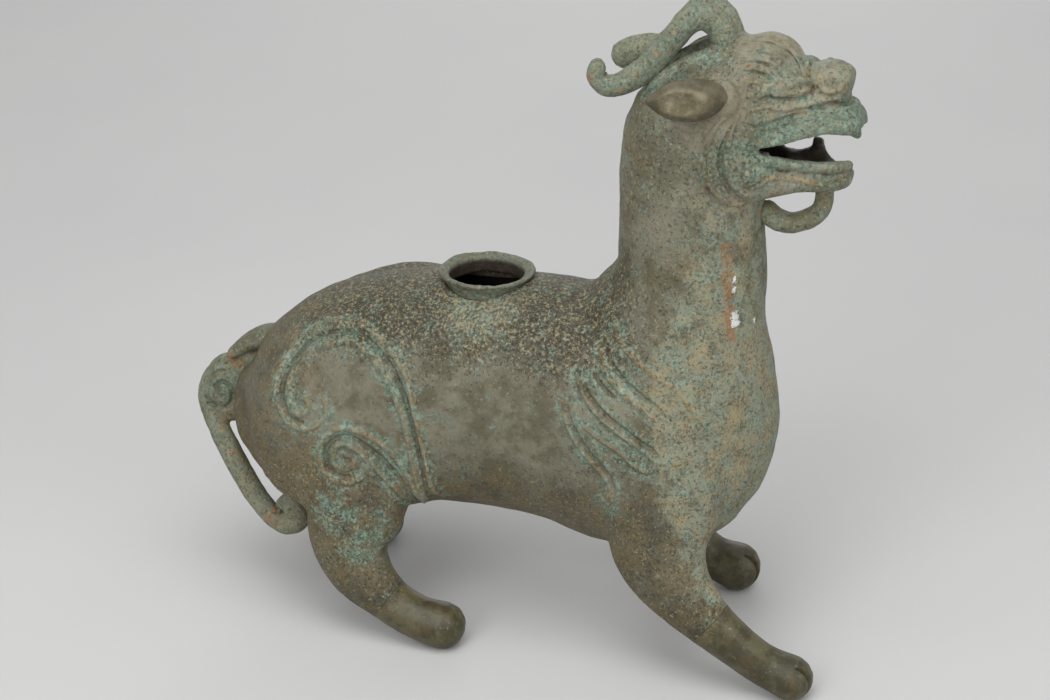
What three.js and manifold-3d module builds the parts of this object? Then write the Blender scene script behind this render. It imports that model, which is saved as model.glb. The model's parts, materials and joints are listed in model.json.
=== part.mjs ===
// Animal-shaped bronze zun: a hollow wine vessel in the form of a standing horned beast.
// Millimetres, +Z up, nose towards +X. The beast's right side is -Y and its left side is +Y.
import * as THREE from 'three';
import { mergeVertices } from 'three/addons/utils/BufferGeometryUtils.js';
import Module from 'manifold-3d';

const wasm = await Module();
wasm.setup();

// Driving dimensions
const wall = 3.5; // bronze wall of the trunk, neck and head
const clearance = 0.3; // gap between pieces that seat on each other
const shoulderX = 66; // middle of the shoulders along the body
const hipToShoulder = 148; // from the middle of the hips to the middle of the shoulders
const legSpread = 46; // from the midline to the middle of each hoof
const neckJointHeight = 224; // where the head sits on the neck
const spigotHeight = 8; // how far the neck reaches up into the head
const spigotWall = 1.6; // metal of the spigot, the inner part of the neck's wall
const backHeight = 171.5; // top of the back above the floor
const fillerToShoulder = 87; // from the middle of the filling hole to the middle of the shoulders
const fillerBore = 17; // radius of the filling hole through the collar
const collarWall = 2.6; // metal round the filling hole, below the lip
const lipOverhang = 2.4; // how far the flared lip stands out over the collar's wall
const lipRise = 2.3; // top of the lip above the back
const lipThickness = 3.2;
const lipFlare = 2.2; // height over which the collar widens into the lip
const lipRounding = 1.2; // rounding of the lip's outer edge
const mouthChamfer = 1.4; // chamfer of the filling hole's upper edge
const collarSkirt = 7; // how far the collar reaches down through the back
const dowelRadius = 3; // dowel in each leg joint
const dowelReach = 13; // how far each dowel goes into the metal or clay on each side
const hornRadius = 6;
const hornPairGap = 1; // between the two horns where they stand side by side
const leftHornDrop = 1.2; // the left horn sits this much lower than the right one
const leftHornSwell = 0.5; // the left horn's tip is a stub, thicker by this share
const leftHornShort = 5.5; // the left horn's tip ends this much further forward
const tailRadius = 5.4;
const tailLegGap = 20.5; // from the middle of the tail's curl to the line of the hooves
const beardRadius = 4.2;
const earPinRadius = 1.5;
const earPinReach = 4; // into the ear, from the skull's outer face
const cleftWidth = 1.6; // split between the two toes of a hoof
const cleftSlope = 0.5; // radians that the split leans back
const reliefHeight = 0.9;
const reliefRadius = 2;

const hipX = shoulderX - hipToShoulder;
const fillerX = shoulderX - fillerToShoulder;
const spigotStep = wall - spigotWall;
const collarRadius = fillerBore + collarWall;
const lipRadius = collarRadius + lipOverhang;
const lipHeight = backHeight + lipRise;

// A station is one cross-section of a lofted form: a centre, a half size in the plane of the spine,
// and a half size across it.
const station = (x, y, z, depth, width) => ({ at: new THREE.Vector3(x, y, z), depth, width });

const across = new THREE.Vector3(0, 1, 0);

// Rings on a smooth spine through the stations, closed by rounded or flat ends.
function loft(stations, { rings, sides, grow = 0, square = 2, startRound = 0, endRound = 0 }) {
  const spine = new THREE.CatmullRomCurve3(stations.map((s) => s.at), false, 'catmullrom', 0.5);
  const sizes = new THREE.CatmullRomCurve3(
    stations.map((s) => new THREE.Vector3(s.depth, s.width, 0)), false, 'catmullrom', 0.5);
  const sections = [];
  const addSection = (t, out, shrink) => {
    const heading = spine.getTangent(t).normalize();
    const side = across.clone().addScaledVector(heading, -across.dot(heading)).normalize();
    const up = new THREE.Vector3().crossVectors(heading, side);
    const size = sizes.getPoint(t);
    const centre = spine.getPoint(t).addScaledVector(heading, out);
    const ring = [];
    for (let i = 0; i < sides; i += 1) {
      const angle = (2 * Math.PI * i) / sides;
      const c = Math.sign(Math.cos(angle)) * Math.abs(Math.cos(angle)) ** (2 / square);
      const s = Math.sign(Math.sin(angle)) * Math.abs(Math.sin(angle)) ** (2 / square);
      ring.push(centre.clone()
        .addScaledVector(side, (size.y + grow) * shrink * c)
        .addScaledVector(up, (size.x + grow) * shrink * s));
    }
    sections.push(ring);
  };
  const capSteps = [62, 32]; // degrees of the two rings that round an end
  const cap = (t, roundness, sign) => {
    const reach = Math.min(sizes.getPoint(t).x, sizes.getPoint(t).y) + grow;
    const angles = sign < 0 ? capSteps : [...capSteps].reverse();
    for (const degrees of angles) {
      const a = THREE.MathUtils.degToRad(degrees);
      addSection(t, sign * roundness * reach * Math.sin(a), Math.cos(a));
    }
  };
  if (startRound > 0) cap(0, startRound, -1);
  for (let i = 0; i <= rings; i += 1) addSection(i / rings, 0, 1);
  if (endRound > 0) cap(1, endRound, 1);
  const pole = (t, roundness, sign) => {
    const reach = Math.min(sizes.getPoint(t).x, sizes.getPoint(t).y) + grow;
    return spine.getPoint(t).addScaledVector(spine.getTangent(t).normalize(), sign * roundness * reach);
  };
  return skin(sections, pole(0, startRound, -1), pole(1, endRound, 1));
}

// Joins equal rings into one closed geometry, with a pole point at each end.
function skin(sections, startPole, endPole) {
  const sides = sections[0].length;
  const points = [...sections.flat(), startPole, endPole];
  const index = [];
  for (let r = 0; r + 1 < sections.length; r += 1) {
    for (let i = 0; i < sides; i += 1) {
      const j = (i + 1) % sides;
      const a = r * sides + i;
      const b = r * sides + j;
      index.push(a, b, a + sides, b, b + sides, a + sides);
    }
  }
  const last = (sections.length - 1) * sides;
  for (let i = 0; i < sides; i += 1) {
    const j = (i + 1) % sides;
    index.push(points.length - 2, j, i);
    index.push(points.length - 1, last + i, last + j);
  }
  const geometry = new THREE.BufferGeometry();
  const coordinates = points.flatMap((p) => p.toArray());
  geometry.setAttribute('position', new THREE.Float32BufferAttribute(coordinates, 3));
  geometry.setIndex(index);
  return geometry;
}

function solid(geometry) {
  const bare = geometry.clone();
  bare.deleteAttribute('normal');
  bare.deleteAttribute('uv');
  const merged = mergeVertices(bare, 1e-4);
  return new wasm.Manifold(new wasm.Mesh({
    numProp: 3,
    vertProperties: new Float32Array(merged.attributes.position.array),
    triVerts: new Uint32Array(merged.index.array),
  }));
}

function geometryOf(made) {
  const mesh = made.getMesh();
  const geometry = new THREE.BufferGeometry();
  geometry.setAttribute('position', new THREE.BufferAttribute(new Float32Array(mesh.vertProperties), 3));
  geometry.setIndex(new THREE.BufferAttribute(new Uint32Array(mesh.triVerts), 1));
  geometry.computeVertexNormals();
  return geometry;
}

const union = (...solids) => solids.reduce((all, next) => all.add(next));

// The biggest of the separate lumps that a cut leaves
const bigger = (a, b) => (b.volume() > a.volume() ? b : a);
const largest = (made) => made.decompose().reduce(bigger);

// Ball stretched to three half sizes
function ball(x, y, z, sizeX, sizeY, sizeZ, segments = 14) {
  const geometry = new THREE.SphereGeometry(1, segments, Math.round(segments * 0.7));
  geometry.scale(sizeX, sizeY, sizeZ);
  geometry.translate(x, y, z);
  return solid(geometry);
}

// Straight round bar between two points
function bar(from, to, radius, segments = 16) {
  const length = from.distanceTo(to);
  const geometry = new THREE.CylinderGeometry(radius, radius, length, segments);
  const turn = new THREE.Quaternion().setFromUnitVectors(
    new THREE.Vector3(0, 1, 0), to.clone().sub(from).normalize());
  geometry.applyQuaternion(turn);
  const middle = from.clone().add(to).multiplyScalar(0.5);
  geometry.translate(middle.x, middle.y, middle.z);
  return solid(geometry);
}

// Trunk, from the rump to the chest. Each station is a place along the body, how far the middle of the
// section lies under the top of the back, its half height and its half width.
const behindHip = (distance) => hipX - distance;
const between = (share) => hipX + share * hipToShoulder;
const beforeShoulder = (distance) => shoulderX + distance;
const trunkStation = (x, under, depth, width) => station(x, 0, backHeight - under, depth, width);
const trunkStations = [
  trunkStation(behindHip(56), 80.5, 24, 22),
  trunkStation(behindHip(42), 79.5, 39, 35),
  trunkStation(behindHip(21), 75, 49.5, 43),
  trunkStation(between(0.027), 67.5, 56, 46),
  trunkStation(between(0.2297), 60.5, 57.5, 45),
  trunkStation(between(0.4527), 58.5, 58.5, 44),
  trunkStation(between(0.6892), 59.5, 59, 45),
  trunkStation(between(0.8919), 64.5, 60, 47),
  trunkStation(beforeShoulder(12), 67.5, 52, 45),
  trunkStation(beforeShoulder(27), 65.5, 39, 36),
  trunkStation(beforeShoulder(38), 61.5, 27, 26),
];
const trunkSquareness = 2.15; // 2 is an ellipse, more is boxier
const trunk = (grow, rings = 22, sides = 26) => solid(loft(trunkStations, {
  rings, sides, grow, square: trunkSquareness, startRound: 0.35, endRound: 0.35 }));

// Neck, from inside the chest up past the joint with the head
const neckStations = [
  station(shoulderX - 6, 0, 86, 38, 34),
  station(shoulderX - 1, 0, 108, 48.5, 42),
  station(shoulderX - 1, 0, 132, 50.5, 42.5),
  station(shoulderX + 2.5, 0, 156, 44.8, 38),
  station(shoulderX + 6.8, 0, 173, 36.6, 33),
  station(shoulderX + 8.8, 0, 184, 33.8, 31.3),
  station(shoulderX + 8.5, 0, neckJointHeight - 28, 33, 30.3),
  station(shoulderX + 7.9, 0, neckJointHeight - 12, 32.3, 29),
  station(shoulderX + 8, 0, neckJointHeight + 8, 32.5, 29),
  station(shoulderX + 9.6, 0, neckJointHeight + 26, 32.2, 30),
];
const neck = (grow, rings = 16, sides = 26) => solid(loft(neckStations, {
  rings, sides, grow, startRound: 0.4, endRound: 0.9 }));

// Legs, from the top of the haunch or shoulder down to the hoof. The second number of each row is how
// far the section stands inside the line of the hooves. The left feet trail the right ones.
const legs = {
  foreleg_right: {
    root: shoulderX,
    side: -1,
    rows: [[0, 19, 124, 23, 14], [4, 15, 104, 28, 17], [5, 12, 84, 27, 16], [5, 9, 66, 24.2, 14.5],
      [9.5, 5.5, 54, 20.5, 13], [18, 3, 43, 16, 11.8], [31, 1, 31.5, 11.8, 10.8], [44.5, 0, 21.8, 10, 10],
      [57.5, 0, 14, 9.4, 10], [69.8, 0, 9.4, 10.4, 10.8]],
    joint: 6,
  },
  foreleg_left: {
    root: shoulderX,
    side: 1,
    rows: [[0, 19, 124, 23, 14], [2, 15, 104, 28, 17], [0, 12, 84, 28, 16], [-5, 9, 66, 24, 14.5],
      [-8, 5.5, 51, 20, 13], [-6, 2.5, 37, 16.5, 12], [1, 1, 25.5, 13, 11.2], [13, 0, 15.6, 10.5, 10.5],
      [27, 0, 10.9, 12, 11.5]],
    joint: 6,
  },
  hindleg_right: {
    root: hipX,
    side: -1,
    rows: [[0, 21, 130, 20, 13], [-5, 15.5, 114, 36, 17], [-4, 13, 94, 42, 17], [4, 11, 74, 35, 15],
      [6.5, 8, 60, 25, 13.5], [4.8, 5, 46, 19.6, 12.5], [11.5, 2.5, 31.5, 16, 11.6],
      [25, 1, 19.7, 11, 10.8], [39, 0, 12.8, 10.6, 10.6], [52.5, 0, 10.2, 11.2, 11.4]],
    joint: 7,
  },
  hindleg_left: {
    root: hipX,
    side: 1,
    rows: [[0, 21, 130, 20, 13], [-7, 15.5, 114, 36, 17], [-10, 13, 94, 42, 17], [-10, 11, 74, 34, 15],
      [-17, 8, 60, 26, 13.5], [-27, 5, 47, 20.5, 12.5], [-31, 2.5, 33.5, 17, 11.8], [-26, 1, 21.5, 12, 11],
      [-18, 0, 14, 11, 10.8], [-9.5, 0, 10.4, 11.6, 11.6]],
    joint: 7,
  },
};

const legStations = (leg) => leg.rows.map(([x, inset, z, depth, width]) =>
  station(leg.root + x, leg.side * (legSpread - inset), z, depth, width));

// Place and heading of a leg's joint
function jointOf(leg) {
  const stations = legStations(leg);
  const spine = new THREE.CatmullRomCurve3(stations.map((s) => s.at), false, 'catmullrom', 0.5);
  const t = leg.joint / (stations.length - 1);
  return { at: spine.getPoint(t), heading: spine.getTangent(t).normalize() };
}

const wholeLeg = (leg, grow) => solid(loft(legStations(leg), {
  rings: 18, sides: 14, grow, startRound: 0.7, endRound: 0.95 }));

// Keeps what lies on the side that the direction points to, from a distance along it
const keepBeyond = (made, direction, distance) =>
  made.trimByPlane([direction.x, direction.y, direction.z], distance);

const pastCut = 1; // a cutter runs this far past the face it opens
const upAxis = new THREE.Vector3(0, 0, 1);
const downAxis = new THREE.Vector3(0, 0, -1);

function upperLeg(leg) {
  const { at, heading } = jointOf(leg);
  const back = heading.clone().negate();
  return keepBeyond(wholeLeg(leg, 0), back, back.dot(at));
}

// Body: everything outside, before it is hollowed
function bodyOuter(grow) {
  const neckPart = keepBeyond(neck(grow), downAxis, -neckJointHeight - grow);
  return union(trunk(grow), neckPart, ...Object.values(legs).map((leg) =>
    (grow === 0 ? upperLeg(leg) : wholeLeg(leg, grow))));
}

// Cast relief: ridges laid on the skin of both sides. A line is drawn from the side, as places along the
// body from the hip or the shoulder, and heights. Each one is laid where a ray from that side first
// meets the skin, and stands out from it by the relief's height.
const hipRelief = [
  [[45, 70], [41.8, 115], [35.5, 133.5], [25.2, 143.3], [11.1, 149.5], [-0.4, 149.5], [-13.2, 144.5],
    [-23.4, 136.5], [-28, 128.1], [-28, 119], [-25, 111], [-19.9, 106.5], [-12.9, 105], [-5.5, 108.5],
    [-2, 114.5], [-4, 120.5]],
  [[37.5, 74], [38.1, 107.5], [34.5, 119.5], [26.5, 131.2], [16.5, 140], [8, 143], [1, 142.7],
    [-9.5, 139], [-17.5, 132.5], [-20.8, 126.5], [-21, 119.1], [-18, 113.3], [-13.9, 112], [-10.6, 115.4]],
  [[36.1, 84.5], [28.5, 96.4], [19.6, 103.8], [11.2, 107.1], [3.8, 107.1], [-2.2, 102.6], [-5, 94.6],
    [-3.8, 86.5], [1.8, 81.5], [9, 81], [15.2, 84.2], [17.7, 91.4]],
  [[30.5, 75.4], [23.4, 86], [16.8, 93.8], [9.5, 99.6], [4.1, 99.2], [1.4, 94.5], [2.9, 89.2],
    [7, 87.5], [10.8, 89.9]],
];
const shoulderRelief = [
  [[-18.7, 165.5], [-9.3, 155.3], [2.7, 148.1], [10.4, 143.8], [16.2, 137.6], [24.2, 125.4]],
  [[-24.8, 156], [-19.6, 145.6], [-8.2, 136.6], [4, 128.2]],
  [[-34, 145.1], [-31.4, 138.6], [-26.1, 131.6], [-19.7, 126.2], [-12.5, 121.4], [-4.2, 116.3],
    [2.4, 112.2], [4.6, 109.2], [2.9, 105.6], [-1.3, 105.3], [-6.1, 107.6], [-10.9, 111.9],
    [-20.5, 116.8], [-28.9, 122.1]],
  [[-38.8, 132.2], [-34.1, 117.6], [-23.7, 104.6], [-16.1, 93.8], [-16.4, 82.5]],
];

function ridges(skinMesh) {
  const ray = new THREE.Raycaster();
  const outside = backHeight; // further to the side than any of the body
  const sunk = reliefRadius - reliefHeight;
  const ridge = (line, root, side) => {
    const stations = [];
    for (const [x, z] of line) {
      ray.set(new THREE.Vector3(root + x, side * outside, z), new THREE.Vector3(0, -side, 0));
      const [hit] = ray.intersectObject(skinMesh);
      if (!hit) continue;
      const at = hit.point.addScaledVector(hit.face.normal, -sunk);
      stations.push(station(at.x, at.y, at.z, reliefRadius, reliefRadius));
    }
    return solid(loft(stations, { rings: line.length + 3, sides: 6, startRound: 0.5, endRound: 0.5 }));
  };
  return [-1, 1].flatMap((side) => [
    ...hipRelief.map((line) => ridge(line, hipX, side)),
    ...shoulderRelief.map((line) => ridge(line, shoulderX, side)),
  ]);
}

const bodyCavity = () => union(trunk(-wall, 14, 18), neck(-wall, 12, 18));

// The hollow of a leg runs from under the trunk to the joint, and past it by the given distance
function legHollow(leg, inset, past) {
  const stations = legStations(leg).slice(3);
  const inner = solid(loft(stations, { rings: 7, sides: 10, grow: -wall - inset, startRound: 0.5 }));
  const { at, heading } = jointOf(leg);
  const back = heading.clone().negate();
  return largest(keepBeyond(inner, back, back.dot(at) - past).subtract(trunk(inset)));
}

function dowel(leg, radius, reach) {
  const { at, heading } = jointOf(leg);
  return bar(at.clone().addScaledVector(heading, -reach), at.clone().addScaledVector(heading, reach), radius);
}

function bodyShell() {
  const spigot = keepBeyond(keepBeyond(neck(-spigotStep), downAxis, -neckJointHeight - spigotHeight),
    upAxis, neckJointHeight - spigotHeight);
  const skinned = bodyOuter(0);
  const relief = ridges(new THREE.Mesh(geometryOf(skinned)));
  let made = union(skinned, ...relief, spigot).subtract(bodyCavity()).subtract(collarOuter(clearance));
  for (const leg of Object.values(legs)) made = made.subtract(legHollow(leg, 0, pastCut));
  return made;
}

function lowerLeg(leg) {
  const { at, heading } = jointOf(leg);
  let made = keepBeyond(wholeLeg(leg, 0), heading, heading.dot(at) + clearance);
  made = keepBeyond(made, upAxis, 0);
  made = made.subtract(dowel(leg, dowelRadius + clearance, dowelReach + clearance));
  const stations = legStations(leg);
  const toe = stations[stations.length - 1];
  const cleft = new THREE.BoxGeometry(toe.width * 1.5, cleftWidth, toe.depth * 1.6);
  cleft.rotateY(-cleftSlope);
  cleft.translate(toe.at.x + toe.width * 1.25, toe.at.y, toe.at.z + toe.depth * 0.55);
  return made.subtract(solid(cleft));
}

// Clay casting core that stays in the leg, bored for the dowel
const legCore = (leg) => legHollow(leg, clearance, 0).subtract(
  dowel(leg, dowelRadius + clearance, dowelReach + clearance));

// Head: skull on top of the neck, snout, jaws, cheeks, forehead swirl, nose, and a crest that carries
// the stems of the horns. Heights on the head are measured from the joint with the neck, and places
// along it from the middle of the shoulders.
const aboveJoint = (reach, y, rise, depth, width) =>
  station(shoulderX + reach, y, neckJointHeight + rise, depth, width);
const skullStations = [
  aboveJoint(0, 0, 32, 18, 24),
  aboveJoint(18, 0, 36, 26, 29),
  aboveJoint(34, 0, 42, 28.5, 27),
  aboveJoint(45, 0, 44, 24, 22.5),
  aboveJoint(55, 0, 43, 15.5, 18.5),
  aboveJoint(66, 0, 38.8, 9.6, 15.5),
  aboveJoint(76, 0, 37.3, 8.7, 13),
];
const noseStations = [
  aboveJoint(59, 0, 50.5, 8.5, 11),
  aboveJoint(66.5, 0, 52, 10, 12.5),
  aboveJoint(73, 0, 50.5, 8.8, 11.3),
];
const jawSquareness = 2.8; // the lower jaw is an open trough with upright lips
const jawStations = [
  aboveJoint(20, 0, 9, 13, 23),
  aboveJoint(38, 0, 12, 12.5, 21),
  aboveJoint(54, 0, 13.2, 9.3, 17),
  aboveJoint(67, 0, 12.8, 8, 13.5),
  aboveJoint(74.5, 0, 13.2, 6.8, 9.8),
];
const mouthStations = [
  aboveJoint(40.5, 0, 26, 1.2, 40),
  aboveJoint(51, 0, 26.4, 3.6, 40),
  aboveJoint(63, 0, 27.2, 6, 40),
  aboveJoint(72, 0, 28.6, 6, 40),
  aboveJoint(81, 0, 26.6, 3.8, 40),
  aboveJoint(92, 0, 26.4, 3.8, 40),
];
// Each row of a lip is its place along the head, its distance to the side, its height and its radius.
const upperLip = [[42, 21, 28, 3], [53, 18.5, 32.5, 3.5], [64, 15.8, 36.5, 3.8], [74, 13.5, 37.5, 4],
  [78, 9, 36, 3.8], [79.5, 7.5, 32.8, 2.8]];
const lowerLip = [[42, 20.5, 22, 2.4], [53, 17.5, 20.8, 2.6], [63.5, 14.5, 19.6, 2.6],
  [72, 11.5, 19.8, 2.8], [77, 7, 20, 2.8]];

function lip(rows, side, grow) {
  const stations = rows.map(([x, y, rise, radius]) => aboveJoint(x, side * y, rise, radius, radius));
  return solid(loft(stations, { rings: 8, sides: 8, grow, startRound: 0.9, endRound: 0.9 }));
}

function headOuter(grow) {
  const crown = keepBeyond(neck(grow), upAxis, neckJointHeight + clearance);
  const skull = solid(loft(skullStations, { rings: 12, sides: 20, grow, startRound: 0.8, endRound: 0.45 }));
  const jaw = solid(loft(jawStations, {
    rings: 8, sides: 16, grow, square: jawSquareness, startRound: 0.5, endRound: 0.6 }));
  const swirl = ball(shoulderX + 39.5, 0, neckJointHeight + 56.5, 15.5 + grow, 21 + grow, 15.5 + grow, 16);
  const cheeks = [-12, 12].map((y) =>
    ball(shoulderX + 26, y, neckJointHeight + 19, 15 + grow, 14 + grow, 17 + grow));
  const lips = [-1, 1].flatMap((side) => [upperLip, lowerLip].map((rows) => lip(rows, side, grow)));
  const muzzle = ball(shoulderX + 78.5, 0, neckJointHeight + 36.5, 3.6 + grow, 9 + grow, 4 + grow);
  const crest = ball(shoulderX + 3, 0, neckJointHeight + 48, 10 + grow, 14 + grow, 13 + grow);
  const nose = solid(loft(noseStations, {
    rings: 4, sides: 16, grow, square: 2.6, startRound: 0.3, endRound: 0.3 }));
  return union(crown, keepBeyond(skull, upAxis, neckJointHeight + clearance),
    keepBeyond(jaw, upAxis, neckJointHeight + clearance), ...cheeks, ...lips, muzzle, swirl, crest, nose);
}

function headShell() {
  const throat = neck(-wall, 10, 16);
  const socket = keepBeyond(neck(-spigotStep + clearance), downAxis,
    -neckJointHeight - spigotHeight - clearance);
  const skullHollow = solid(loft(skullStations.slice(0, 5), {
    rings: 8, sides: 14, grow: -wall, startRound: 0.6, endRound: 0.5 }));
  const troughStations = jawStations.map((s) =>
    station(s.at.x, 0, s.at.z + 1.5 * wall, s.depth, s.width));
  const trough = solid(loft(troughStations, {
    rings: 6, sides: 12, grow: -wall, square: jawSquareness, startRound: 0.5, endRound: 0.4 }));
  const mouth = solid(loft(mouthStations, { rings: 5, sides: 10 }));
  const made = headOuter(0).subtract(union(throat, socket, skullHollow, trough, mouth));
  return [-1, 1].reduce((head, side) => head.subtract(earPin(side, clearance)), made);
}

// Filler collar: a flared lip on a short tube that lines the hole in the back
function turned(profile) {
  const geometry = new THREE.LatheGeometry(profile.map(([r, z]) => new THREE.Vector2(r, z)), 32);
  geometry.rotateX(Math.PI / 2);
  geometry.translate(fillerX, 0, 0);
  return solid(geometry);
}

function collarOuter(grow) {
  const lipBottom = lipHeight - lipThickness;
  const bottom = lipBottom - collarSkirt;
  return turned([[0, bottom - grow], [collarRadius + grow, bottom - grow],
    [collarRadius + grow, lipBottom - lipFlare - grow], [lipRadius - lipRounding + grow, lipBottom - grow],
    [lipRadius + grow, lipHeight - lipRounding], [lipRadius - lipRounding, lipHeight], [0, lipHeight]]);
}

function fillerCollar() {
  const below = lipHeight - lipThickness - collarSkirt - pastCut;
  return collarOuter(0).subtract(turned([[0, below], [fillerBore, below],
    [fillerBore, lipHeight - mouthChamfer], [fillerBore + mouthChamfer + pastCut, lipHeight + pastCut],
    [0, lipHeight + pastCut]]));
}

// Horn: rises from the forehead, arches back over the crown and curls up behind it. Each row is the
// place along the head, how far it leans outwards, its height above the neck joint and its share of
// the horn's radius.
function horn(side) {
  const rows = [[23, 0, 60, 1.03], [21.5, 0, 68, 1.03], [18.5, 0.1, 74.6, 1.03], [12.5, 0.9, 78.6, 1.04],
    [6.5, 2.3, 76.6, 1.02], [1.5, 3.5, 70.8, 1], [-4, 4.5, 63.5, 1], [-9.5, 5.5, 57.2, 0.95],
    [-16, 6.5, 51.8, 0.9], [-22.5, 7.5, 48.3, 0.85], [-28.5, 8.5, 47.8, 0.8], [-32.2, 9.5, 51.5, 0.75],
    [-31.5, 10.3, 56.5, 0.6]];
  const innermost = hornRadius + hornPairGap / 2;
  const drop = side > 0 ? leftHornDrop : 0;
  const swell = side > 0 ? leftHornSwell : 0;
  const shorter = side > 0 ? leftHornShort : 0;
  const tipRows = 4;
  const stations = rows.map(([x, out, rise, share], i) => {
    const towardsTip = Math.max(0, i + tipRows + 1 - rows.length) / tipRows;
    const radius = hornRadius * share * (1 + swell * towardsTip);
    return aboveJoint(x + shorter * towardsTip, side * (innermost + out), rise - drop, radius, radius);
  });
  const made = solid(loft(stations, { rings: 26, sides: 10, startRound: 0.3, endRound: 0.9 }));
  return made.subtract(headOuter(clearance)).subtract(bodyOuter(clearance));
}

// Ear: a leaf that lies back along the head, with a hollow on its outer face
function earPin(side, gap) {
  const seat = new THREE.Vector3(shoulderX + 22, side * 27, neckJointHeight + 50);
  const out = new THREE.Vector3(0, side, 0);
  return bar(seat.clone().addScaledVector(out, -earPinReach - gap),
    seat.clone().addScaledVector(out, earPinReach + gap), earPinRadius + gap, 12);
}

function ear(side) {
  const rows = [[29, 29, 51, 3, 3], [22, 32.5, 51, 8, 4.5], [12, 35, 50.5, 9.5, 4.8],
    [2, 36.5, 50, 6.5, 4], [-6.5, 37, 50, 2, 2]];
  const stations = rows.map(([x, y, rise, depth, width]) => aboveJoint(x, side * y, rise, depth, width));
  const leaf = solid(loft(stations, { rings: 10, sides: 12, startRound: 0.6, endRound: 0.8 }));
  const hollow = ball(shoulderX + 12, side * 42.5, neckJointHeight + 50.5, 14, 5, 6.5, 12);
  return largest(leaf.subtract(hollow).subtract(headOuter(clearance)).subtract(earPin(side, clearance)));
}

// Beard: a bar from under the chin that loops back to the throat
function beard() {
  const rows = [[65, 9, 1], [66.5, 2, 0.95], [65, -5, 1], [59.5, -10.2, 1.05], [52.5, -12.4, 1.05],
    [46, -11.4, 0.85], [42.5, -8, 0.5]];
  const stations = rows.map(([x, rise, share]) =>
    aboveJoint(x, 0, rise, beardRadius * share, beardRadius * share * 1.2));
  const made = solid(loft(stations, { rings: 14, sides: 10, startRound: 0.3, endRound: 0.8 }));
  return made.subtract(headOuter(clearance)).subtract(bodyOuter(clearance));
}

// Tail: leaves the rump with a bulb and a small flap, hangs in a wide bow and curls up behind the right
// leg. Each row is the place along the body, the share of the swing to the right, the height and the
// share of the tail's radius.
function tail() {
  const rows = [[-50, 0, 108, 1.3], [-62, 0.04, 109, 1.5], [-71.5, 0.12, 104, 1.45],
    [-75.5, 0.24, 94, 1.2], [-72, 0.35, 81.5, 1], [-64, 0.51, 67, 1], [-54.5, 0.67, 54, 1],
    [-44.5, 0.82, 45, 1], [-34, 0.96, 40.5, 0.95], [-26.5, 1, 43.5, 0.9], [-26, 1, 50, 0.85],
    [-31, 0.96, 53.5, 0.75], [-35.5, 0.92, 50.5, 0.6]];
  const swing = legSpread - tailLegGap;
  const stations = rows.map(([x, share, z, thickness]) =>
    station(hipX + x, -share * swing, z, tailRadius * thickness, tailRadius * thickness));
  const rope = solid(loft(stations, { rings: 32, sides: 10, startRound: 0.3, endRound: 0.8 }));
  const bulb = ball(hipX - 59, 0, 101, 11, 11, 15);
  const flap = ball(hipX - 58, 0, 114.5, 7.5, 8, 4.5);
  return union(rope, bulb, flap).subtract(bodyOuter(clearance));
}

const zun = new THREE.Group();
function piece(name, made, colour, roughness, metalness) {
  const material = new THREE.MeshStandardMaterial({ color: colour, roughness, metalness });
  const mesh = new THREE.Mesh(geometryOf(made), material);
  mesh.name = name;
  zun.add(mesh);
}

const patina = 0x5c604a;
const turquoise = 0x5f7a6a;
const olive = 0x4a4526;
piece('body_shell', bodyShell(), patina, 0.75, 0.3);
piece('head_shell', headShell(), patina, 0.75, 0.3);
piece('filler_collar', fillerCollar(), turquoise, 0.8, 0.2);
piece('beard_loop', beard(), turquoise, 0.75, 0.3);
piece('tail', tail(), turquoise, 0.75, 0.3);
for (const [name, side] of [['right', -1], ['left', 1]]) {
  piece(`horn_${name}`, horn(side), turquoise, 0.75, 0.3);
  piece(`ear_${name}`, ear(side), 0x5b5740, 0.6, 0.3);
  piece(`ear_pin_${name}`, earPin(side, 0), 0x8c7a4a, 0.4, 0.8);
}
for (const [name, leg] of Object.entries(legs)) {
  const [kind, side] = name.split('_');
  piece(`${kind}_lower_${side}`, lowerLeg(leg), olive, 0.5, 0.5);
  piece(`leg_dowel_${name}`, dowel(leg, dowelRadius, dowelReach), 0x8c7a4a, 0.4, 0.8);
  piece(`leg_core_${name}`, legCore(leg), 0x9a7a58, 0.95, 0);
}

// The origin is on the floor, under the middle of the whole object
const box = new THREE.Box3().setFromObject(zun);
const middle = box.getCenter(new THREE.Vector3());
zun.position.set(-middle.x, -middle.y, -box.min.z);

export default zun;
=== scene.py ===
# %% [markdown]
# A bronze wine vessel in the shape of a striding horned beast. The frame holds the solids at their real
# size, and this lesson dresses them: the skin of the casting, its relief, its head and horns, and the
# patina of a long time in the ground. Such vessels were cast in piece moulds round clay cores, so every
# form is soft-edged and runs into the next one.

# %% Load the frame
import json
import math

import bmesh
import bpy
import numpy as np
from mathutils import Matrix, Vector, noise
from mathutils.bvhtree import BVHTree

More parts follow.
